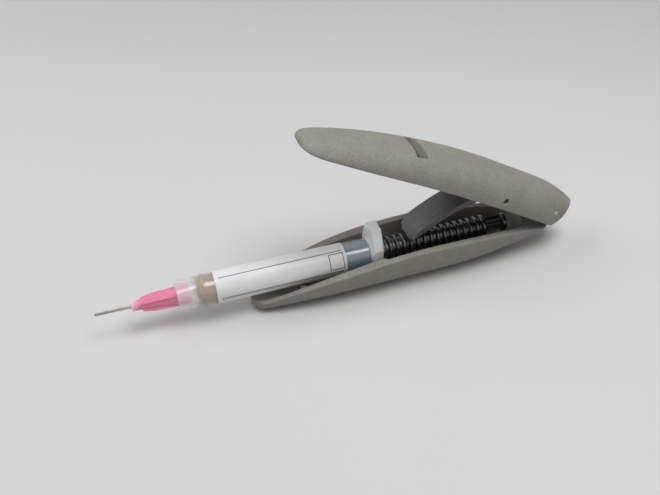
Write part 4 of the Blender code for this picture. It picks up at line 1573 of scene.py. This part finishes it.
@dataclass(frozen=True)
class Springs:
    """The return spring on the hinge pin and the small one that presses the pawl down."""

    return_wire: float = 0.5 * MM
    return_turns: float = 3.5
    return_pitch: float = 0.95 * MM
    return_radius: float = 1.75 * MM
    return_leg: float = 9.0 * MM
    pawl_wire: float = 0.4 * MM
    pawl_turns: float = 2.5
    pawl_pitch: float = 0.85 * MM
    pawl_radius: float = 1.6 * MM
    pawl_leg: float = 7.0 * MM

    def build(self, material: bpy.types.Material, shell: LowerShell, lever: UpperLever,
              pawl: DrivePawl) -> None:
        """Make both springs.

        Args:
            material: Their finish.
            shell: The shell that the return spring stands on.
            lever: The lever that both press against.
            pawl: The pawl that the small one presses on.
        """
        hinge = FIT.hinge().translation
        in_shell = FIT.syringe().inverted() @ hinge
        deck = shell.rim(in_shell.x - self.return_radius) + FIT.seat_gap + self.return_wire / 2.0
        foot = (-self.return_radius, deck - in_shell.z)
        ceiling = lever.crown_at(-self.return_leg) - FIT.crown_wall - FIT.seat_gap - self.return_wire
        roof = FIT.hinge() @ Vector((-self.return_leg, 0.0, ceiling)) - hinge
        spring = TorsionSpring("return_coil", "return_spring", self.return_wire, self.return_turns,
                               self.return_pitch, self.return_radius, foot, (roof.x, roof.z))
        spring.build(material, Matrix.Translation(hinge), Body.SHELL, Body.LEVER)

        lean = FIT.pawl_turn() - FIT.lever_open
        share = 1.0 - self.pawl_leg / (FIT.pawl_reach - FIT.pawl_nose_back)
        over = Vector((*pawl.top(share), 0.0))
        rest = Vector((over.x, 0.0, over.y + FIT.seat_gap + self.pawl_wire / 2.0))
        on_pawl = Matrix.Rotation(lean, 3, "Y") @ rest
        pivot = FIT.hinge().inverted() @ FIT.pivot().translation
        high = lever.crown_at(pivot.x - self.pawl_leg) - FIT.crown_wall - FIT.seat_gap - self.pawl_wire
        spring = TorsionSpring("pawl_coil", "pawl_spring", self.pawl_wire, self.pawl_turns,
                               self.pawl_pitch, self.pawl_radius, (on_pawl.x, on_pawl.z),
                               (-self.pawl_leg, high - pivot.z))
        place = FIT.hinge() @ Matrix.Translation(pivot)
        spring.build(material, place, Body.PAWL, Body.LEVER)


@dataclass(frozen=True)
class Syringe:
    """The clear barrel with its winged flange and luer collar, the label and the paste."""

    collar_length: float = 7.0 * MM
    collar_depth: float = 6.0 * MM
    ridge: float = 0.2 * MM
    ridge_width: float = 0.9 * MM
    ridge_setback: float = 9.8 * MM
    bore_cone: float = 1.3 * MM
    end_wall: float = 0.9 * MM
    fillet_length: float = 1.1 * MM
    fillet_rise: float = 0.25 * MM
    edge: float = 0.3 * MM
    corner: float = 0.25 * MM
    thread_wire: float = 0.44 * MM
    thread_pitch: float = 2.6 * MM
    thread_turns: float = 1.9
    thread_steps: int = 90
    label_front: float = -57.9 * MM
    label_rear: float = -10.0 * MM
    label_thickness: float = 0.15 * MM
    label_inset: float = 0.2
    lap_lift: float = 0.32
    label_lap: float = math.radians(24.0)
    label_seam: float = math.radians(205.0)
    paste_gap: float = 0.05 * MM
    paste_round: float = 0.3 * MM
    paste_rear: float = -20.8 * MM
    travel: float = 6.6 * MM
    steps: int = 112

    def bore(self) -> float:
        """Radius of the barrel's bore."""
        return FIT.barrel_radius - FIT.barrel_wall

    def shoulder(self) -> float:
        """Place where the bore starts to narrow to the nozzle."""
        return -FIT.barrel_length + self.collar_depth + self.end_wall + self.bore_cone

    def build_barrel(self, material: bpy.types.Material) -> None:
        """Make the barrel with its flange, and the collar's inside thread.

        Args:
            material: Their finish.
        """
        front = -FIT.barrel_length
        ridge = front + self.ridge_setback
        recess = front + self.collar_depth
        luer_root = FIT.luer_radius + FIT.luer_taper * (self.collar_depth + FIT.luer_proud)
        inner_collar = FIT.collar_radius - FIT.collar_wall
        profile = [
            (front, FIT.collar_radius),
            (front + self.collar_length, FIT.collar_radius),
            (ridge - self.ridge_width, FIT.barrel_radius),
            (ridge - self.ridge_width / 2.0, FIT.barrel_radius + self.ridge),
            (ridge, FIT.barrel_radius + self.ridge),
            (ridge + self.ridge_width / 2.0, FIT.barrel_radius),
            (-self.fillet_length, FIT.barrel_radius),
            (-FIT.seat_gap, FIT.barrel_radius + self.fillet_rise),
            (self.edge, FIT.barrel_radius + 2.0 * self.fillet_rise),
            (FIT.flange_thickness - self.edge, FIT.barrel_radius),
            (FIT.flange_thickness - self.edge, self.bore()),
            (self.shoulder(), self.bore()),
            (self.shoulder() - self.bore_cone, FIT.nozzle_radius),
            (front - FIT.luer_proud, FIT.nozzle_radius),
            (front - FIT.luer_proud, FIT.luer_radius),
            (recess, luer_root),
            (recess, inner_collar),
            (front, inner_collar),
        ]
        flange = plate(rounded(FIT.flange_outline(), self.edge, closed=True), 0.0, FIT.flange_thickness)
        rims = [e for e in flange.edges if abs(e.verts[0].co.x - e.verts[1].co.x) < self.edge / 10.0]
        bmesh.ops.bevel(flange, geom=rims, offset=self.edge, segments=4, profile=0.5, affect="EDGES")
        obj = object_from("barrel_clear", flange)
        mouth = self.bore() + FIT.barrel_wall / 2.0
        through = [(-FIT.flange_thickness, mouth), (2.0 * FIT.flange_thickness, mouth)]
        work(obj, Cut.TAKE, lathe(through, self.steps))
        work(obj, Cut.JOIN, tube(profile, self.corner, self.steps))
        weld(obj)
        obj.data.transform(FIT.syringe())
        dress(obj, material, "barrel_clear", "syringe_barrel", body=Body.SHELL, sharp=32.0)

        helix = []
        for k in range(self.thread_steps + 1):
            turned = self.thread_turns * k / self.thread_steps
            angle = 2.0 * math.pi * turned
            x = front + self.thread_wire + self.thread_pitch * turned
            helix.append(Vector((x, inner_collar * math.sin(angle), inner_collar * math.cos(angle))))
        thread = wire("collar_thread", helix, self.thread_wire, FIT.syringe())
        dress(thread, material, "barrel_clear", body=Body.SHELL)

    def label_loop(self, angle: float) -> list[Vector]:
        """The label's cross-cut at an angle, lifted where its end laps over its start.

        Args:
            angle: The angle about the axis.

        Returns:
            The cross-cut's loop.
        """
        past = (angle - self.label_seam) % (2.0 * math.pi)
        lift = self.lap_lift if past < self.label_lap else 0.0
        outer = FIT.label_radius - self.label_thickness * (self.label_inset - lift)
        inner = FIT.label_radius - self.label_thickness
        ends = [(self.label_front, outer), (self.label_rear, outer),
                (self.label_rear, inner), (self.label_front, inner)]
        return [Vector((x, r * math.sin(angle), r * math.cos(angle)))
                for x, r in rounded(ends, self.label_thickness / 3.0, closed=True, steps=2)]

    def build_label(self, material: bpy.types.Material) -> None:
        """Make the wrap label with its lapped seam.

        Args:
            material: Its finish.
        """
        loops = [self.label_loop(a) for a in turns(2 * self.steps)]
        obj = object_from("label_wrap", skin(loops, ring=True), FIT.syringe())
        dress(obj, material, "label_white", "barrel_label", body=Body.SHELL, sharp=50.0)

    def build_paste(self, material: bpy.types.Material) -> None:
        """Make the paste that the piston presses forwards, as one fixed form.

        Args:
            material: Its finish.
        """
        radius = self.bore() - self.paste_gap
        slope = (self.bore() - FIT.nozzle_radius) / self.bore_cone
        depth = self.bore_cone - FIT.seat_gap
        nose = self.shoulder() - depth + FIT.seat_gap / 2.0
        profile = [
            (nose, FIT.nozzle_radius / 2.0),
            (nose, radius - slope * depth),
            (self.shoulder() + FIT.seat_gap, radius),
            (self.paste_rear, radius),
            (self.paste_rear, FIT.nozzle_radius),
        ]
        filled = rounded(profile, self.paste_round, steps=8)
        obj = object_from("paste_fill", lathe(filled, self.steps), FIT.syringe())
        dress(obj, material, "paste_grey", "solder_paste", body=Body.SHELL, sharp=50.0)
        1.0 - self.travel / (self.paste_rear - nose)
        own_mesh(obj)


@dataclass(frozen=True)
class Plunger:
    """The ring-ribbed rod and the wiper piston ahead of it."""

    piston_front: float = -20.5 * MM
    piston_length: float = 8.0 * MM
    waist: float = 0.7 * MM
    lip: float = 1.6 * MM
    root: float = 3.45 * MM
    pitch: float = 2.74 * MM
    crest: float = 0.65 * MM
    foot: float = 1.1 * MM
    lobe_width: float = 1.7 * MM
    lobe_power: float = 0.8
    lobe_steps: int = 16
    ahead: int = 8
    behind: int = 11
    tooth_tip: float = 0.4 * MM
    tooth_lag: float = 0.3 * MM
    neck_radius: float = 1.5 * MM
    neck_length: float = 7.8 * MM
    fin_reach: float = 2.7 * MM
    fin_thickness: float = 1.2 * MM
    fin_turn: float = math.radians(35.0)
    disc_radius: float = 3.4 * MM
    disc_thickness: float = 1.6 * MM
    corner: float = 0.42 * MM
    steps: int = 88

    def tooth_x(self) -> float:
        """Place of the pawl's tooth along the axis."""
        pivot = FIT.syringe().inverted() @ FIT.pivot().translation
        return pivot.x - FIT.pawl_reach * math.cos(FIT.pawl_turn())

    def lobe(self, middle: float) -> Profile:
        """Outline of one rounded rib.

        Args:
            middle: The rib's place along the axis.

        Returns:
            Points of (x, radius) from foot to foot.
        """
        height = FIT.rib_radius - self.root
        half = self.lobe_width / 2.0
        points = []
        for k in range(self.lobe_steps + 1):
            turn = math.pi * (k / self.lobe_steps - 0.5)
            across = math.copysign(abs(math.sin(turn)) ** self.lobe_power, turn)
            up = abs(math.cos(turn)) ** self.lobe_power
            points.append((middle + half * across, self.root + height * up))
        return points

    def build_rod(self, material: bpy.types.Material) -> None:
        """Make the rod.

        Args:
            material: Its finish.
        """
        width = self.pitch - self.crest
        groove = self.tooth_x() - width / 2.0 + self.tooth_tip / 2.0 + self.tooth_lag
        profile = [(self.piston_front + self.piston_length + FIT.seat_gap, self.root)]
        for k in range(-self.ahead, self.behind + 1):
            middle = groove + (k + 0.5) * self.pitch
            profile += self.lobe(middle)
        last = middle + self.foot / 2.0
        neck = last + self.neck_length
        button = [
            (last + self.foot / 2.0, self.neck_radius),
            (neck, self.neck_radius),
            (neck, self.disc_radius),
            (neck + self.disc_thickness, self.disc_radius),
            (neck + self.disc_thickness, self.disc_radius / 3.0),
        ]
        profile += rounded(button, self.corner)
        obj = object_from("rod_ribbed", lathe(profile, self.steps))
        edge = [(last - self.foot / 2.0, self.fin_reach),
                (neck + self.disc_thickness / 2.0, self.fin_reach)]
        add_fins(obj, edge, self.fin_thickness, self.fin_turn)
        obj.data.transform(FIT.syringe())
        dress(obj, material, "rod_black", "plunger_rod", body=Body.PLUNGER, sharp=60.0)

    def build_piston(self, material: bpy.types.Material) -> None:
        """Make the piston.

        Args:
            material: Its finish.
        """
        lip = FIT.barrel_radius - FIT.barrel_wall - FIT.seat_gap / 2.0
        rear = self.piston_front + self.piston_length
        waist = lip - self.waist
        profile = [
            (self.piston_front, waist),
            (self.piston_front, lip),
            (self.piston_front + self.lip, lip),
            (self.piston_front + self.lip + self.waist, waist),
            (rear - self.lip - self.waist, waist),
            (rear - self.lip, lip),
            (rear, lip),
            (rear, waist),
        ]
        obj = object_from("piston_wiper", lathe(rounded(profile, self.corner), self.steps), FIT.syringe())
        dress(obj, material, "piston_white", "piston_seal", body=Body.PLUNGER, sharp=60.0)


@dataclass(frozen=True)
class DispensingTip:
    """The pink luer-lock hub with its fins, the blunt needle and the bead that bonds it."""

    insert: float = 4.6 * MM
    length: float = 15.5 * MM
    nose_radius: float = 1.75 * MM
    nose_length: float = 2.6 * MM
    front_radius: float = 2.0 * MM
    rear_radius: float = 2.9 * MM
    step: float = 0.8 * MM
    lug_length: float = 1.0 * MM
    fin_reach: float = 0.6 * MM
    fin_front_reach: float = 0.5 * MM
    fin_step: float = 7.4 * MM
    fin_thickness: float = 1.1 * MM
    fin_turn: float = math.radians(41.0)
    fin_taper: float = 0.25 * MM
    needle_radius: float = 0.455 * MM
    needle_bore: float = 0.3 * MM
    needle_reach: float = 12.5 * MM
    needle_root: float = 6.5 * MM
    bead_length: float = 1.0 * MM
    bead_radius: float = 1.15 * MM
    bead_gap: float = 0.01 * MM
    bead_waist: float = 0.16 * MM
    bead_sink: float = 0.02 * MM
    bead_round: float = 0.3 * MM
    steps: int = 64
    voxel: float = 0.11 * MM
    rounds: int = 3
    keep: float = 0.4

    def front(self) -> float:
        """Front face of the hub."""
        return -FIT.barrel_length - self.length

    def build_hub(self, material: bpy.types.Material) -> None:
        """Make the hub.

        Args:
            material: Its finish.
        """
        collar = -FIT.barrel_length
        front = self.front()
        rear = collar + self.insert
        step = front + self.nose_length
        lug = FIT.collar_radius - FIT.collar_wall - FIT.seat_gap
        socket = FIT.luer_radius + FIT.seat_gap
        socket_rear = socket + FIT.luer_taper * (self.insert + FIT.luer_proud)
        socket_front = collar - FIT.luer_proud - FIT.seat_gap
        root = front + self.needle_root + FIT.seat_gap
        bond = self.needle_radius + FIT.pin_gap
        wide = self.rear_radius + self.fin_reach
        profile = [
            (front, self.nose_radius), (step, self.nose_radius),
            (step + self.step, self.front_radius), (collar - self.step, self.rear_radius),
            (collar, wide), (rear - self.lug_length, wide), (rear - self.lug_length, lug),
            (rear, lug), (rear, socket_rear), (socket_front, socket),
            (socket_front, FIT.nozzle_radius), (root, FIT.nozzle_radius), (root, bond), (front, bond),
        ]
        obj = object_from("hub_pink", lathe(profile, self.steps, hollow=True))
        narrow = self.front_radius + self.fin_front_reach
        edge = [(step + self.step, narrow), (front + self.fin_step, wide - self.fin_taper),
                (collar, wide)]
        add_fins(obj, edge, self.fin_thickness, self.fin_turn)
        for start, radius in ((root, FIT.nozzle_radius), (front - self.step, bond)):
            work(obj, Cut.TAKE, lathe([(start, radius), (collar, radius)], self.steps))
        work(obj, Cut.TAKE, lathe([(socket_front, socket), (rear, socket_rear)], self.steps))
        soften(obj, self.voxel, self.rounds, self.keep)
        obj.data.transform(FIT.syringe())
        dress(obj, material, "hub_pink", "needle_hub", body=Body.TIP, sharp=70.0)

    def build_needle(self, material: bpy.types.Material) -> None:
        """Make the needle.

        Args:
            material: Its finish.
        """
        low = self.front() - self.needle_reach
        high = self.front() + self.needle_root
        profile = [(low, self.needle_radius), (high, self.needle_radius),
                   (high, self.needle_bore), (low, self.needle_bore)]
        edge = (self.needle_radius - self.needle_bore) / 3.0
        obj = object_from("needle_blunt", tube(profile, edge, self.steps // 2, 2), FIT.syringe())
        dress(obj, material, "needle_steel", "needle_tube", body=Body.TIP, sharp=50.0)

    def build_bead(self, material: bpy.types.Material) -> None:
        """Make the bead of glue round the needle's root.

        Args:
            material: Its finish.
        """
        low = self.front() - self.bead_length
        high = self.front() + self.bead_sink
        hold = self.needle_radius + self.bead_gap
        profile = [(low, hold), (low + self.bead_length / 2.0, hold + self.bead_waist),
                   (high, self.bead_radius), (high, hold)]
        bead = tube(profile, self.bead_round, self.steps // 2)
        obj = object_from("needle_bond", bead, FIT.syringe())
        dress(obj, material, "needle_steel", body=Body.TIP, sharp=60.0)


# Stage

@dataclass(frozen=True)
class Lamp:
    """A soft light that points at the object."""

    name: str
    place: Triple
    width: float
    height: float
    power: float
    colour: Colour = WHITE
    target: Triple = (0.0, 0.0, 0.02)

    def build(self) -> None:
        """Make the light and aim it."""
        data = bpy.data.lights.new(self.name, "AREA")
        data.shape = "RECTANGLE"
        data.size = self.width
        data.size_y = self.height
        data.energy = self.power
        data.color = self.colour
        obj = linked(self.name, data)
        obj.location = self.place
        aim = Vector(self.target) - Vector(self.place)
        obj.rotation_euler = aim.to_track_quat("-Z", "Y").to_euler()


@dataclass(frozen=True)
class Studio:
    """Pale floor, soft lights and the camera at the photograph's angle."""

    floor_half: float = 3.0
    camera_place: Triple = (-0.0943, -0.1971, 0.1923)
    camera_aim: Triple = (0.2419, 0.7282, -0.6413)
    camera_right: Triple = (0.9465, -0.3225, -0.0092)
    near: float = 1.0 * MM
    sensor: float = 36.0
    focal_in_widths: float = 750.0 / 660.0
    sky: float = 0.10
    backdrop: float = 0.66
    lamps: tuple[Lamp, ...] = (
        Lamp("key_above", (0.14, -0.12, 0.64), 0.40, 0.40, 3.6),
        Lamp("panel_front", (-0.12, -0.58, 0.42), 0.9, 0.8, 0.75),
        Lamp("back_left", (-0.48, 0.24, 0.36), 0.6, 0.6, 2.1),
    )

    def build_floor(self) -> None:
        """Make the floor that the belly rests on."""
        half = self.floor_half
        bm = bmesh.new()
        corners = ((-half, -half), (half, -half), (half, half), (-half, half))
        bm.faces.new([bm.verts.new((x, y, 0.0)) for x, y in corners])
        floor = object_from("floor", bm)
        floor.data.materials.append(PaleFloor("pale_floor").material())

    def build_sky(self) -> None:
        """Set the light from all round, and the pale tone that eyes, mirrors and glass see there."""
        graph = SkyGraph("studio")
        graph.set(Color=WHITE, Strength=self.sky + graph.seen() * (self.backdrop - self.sky))
        bpy.context.scene.world = graph.world

    def build_camera(self) -> None:
        """Set the camera where the photograph was taken from."""
        forward = Vector(self.camera_aim).normalized()
        right = Vector(self.camera_right)
        right = (right - forward * right.dot(forward)).normalized()
        up = right.cross(forward)
        data = bpy.data.cameras.new("photo_camera")
        data.sensor_width = self.sensor
        data.lens = self.focal_in_widths * self.sensor
        data.clip_start = self.near
        camera = linked("photo_camera", data)
        turn = Matrix((right, up, -forward)).transposed().to_4x4()
        camera.matrix_world = Matrix.Translation(self.camera_place) @ turn
        bpy.context.scene.camera = camera

    def build(self) -> None:
        """Make the stage."""
        self.build_floor()
        self.build_sky()
        for lamp in self.lamps:
            lamp.build()
        self.build_camera()
        bpy.context.scene.view_settings.view_transform = "Standard"


def main() -> None:
    """Build every sub-assembly and the stage."""
    logging.basicConfig(level=logging.INFO, format="%(name)s %(message)s")
    nylon = SinteredNylon("sintered_nylon").material()
    shell = LowerShell()
    lever = UpperLever()
    pawl = DrivePawl()
    shell.build(nylon)
    lever.build(nylon)
    pawl.build(LayeredPrint("pawl_print").material())
    across = (1.0, 12.0, 1.0)
    bright = DrawnSteel("pin_steel", stretch=across)
    # The pawl's pin gets a much darker copy of the steel: painted shade for the shadow deep in its holes.
    shaded_steel = DrawnSteel("axle_painted_shade", (0.03, 0.028, 0.025), (0.08, 0.075, 0.07), stretch=across)
    CrossPins().build(bright.material(), shaded_steel.material())
    Springs().build(DrawnSteel("spring_steel", roughness=0.25).material(), shell, lever, pawl)

    syringe = Syringe()
    place = FIT.syringe().translation
    collar = place.x - FIT.barrel_length + syringe.collar_depth
    middle = place.x + (syringe.label_front + syringe.label_rear) / 2.0
    barrel = MilkyPolymer("barrel_polymer", collar_to=collar, filled_to=middle, flange_from=place.x)
    syringe.build_barrel(barrel.material())
    film = LabelFilm("label_film", place.z, place.x + syringe.label_front, place.x + syringe.label_rear)
    syringe.build_label(film.material())
    syringe.build_paste(PasteFinish("paste").material())
    plunger = Plunger()
    plunger.build_rod(GlossMoulding("rod_moulding").material())
    piston = GlossMoulding("piston_moulding", (0.55, 0.55, 0.54), (0.68, 0.68, 0.67),
                           roughness=0.4, shine=0.5, coat=0.0)
    plunger.build_piston(piston.material())
    tip = DispensingTip()
    tip.build_hub(TintedPolymer("hub_polymer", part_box("needle_hub")[0][0]).material())
    tip.build_needle(DrawnSteel("needle_steel", (0.20, 0.185, 0.17), (0.38, 0.36, 0.33)).material())
    glue = MilkyPolymer("bond_glue", (0.93, 0.80, 0.82), (0.88, 0.70, 0.74), veil=0.5)
    tip.build_bead(glue.material())

    Studio().build()


if __name__ == "__main__":
    main()
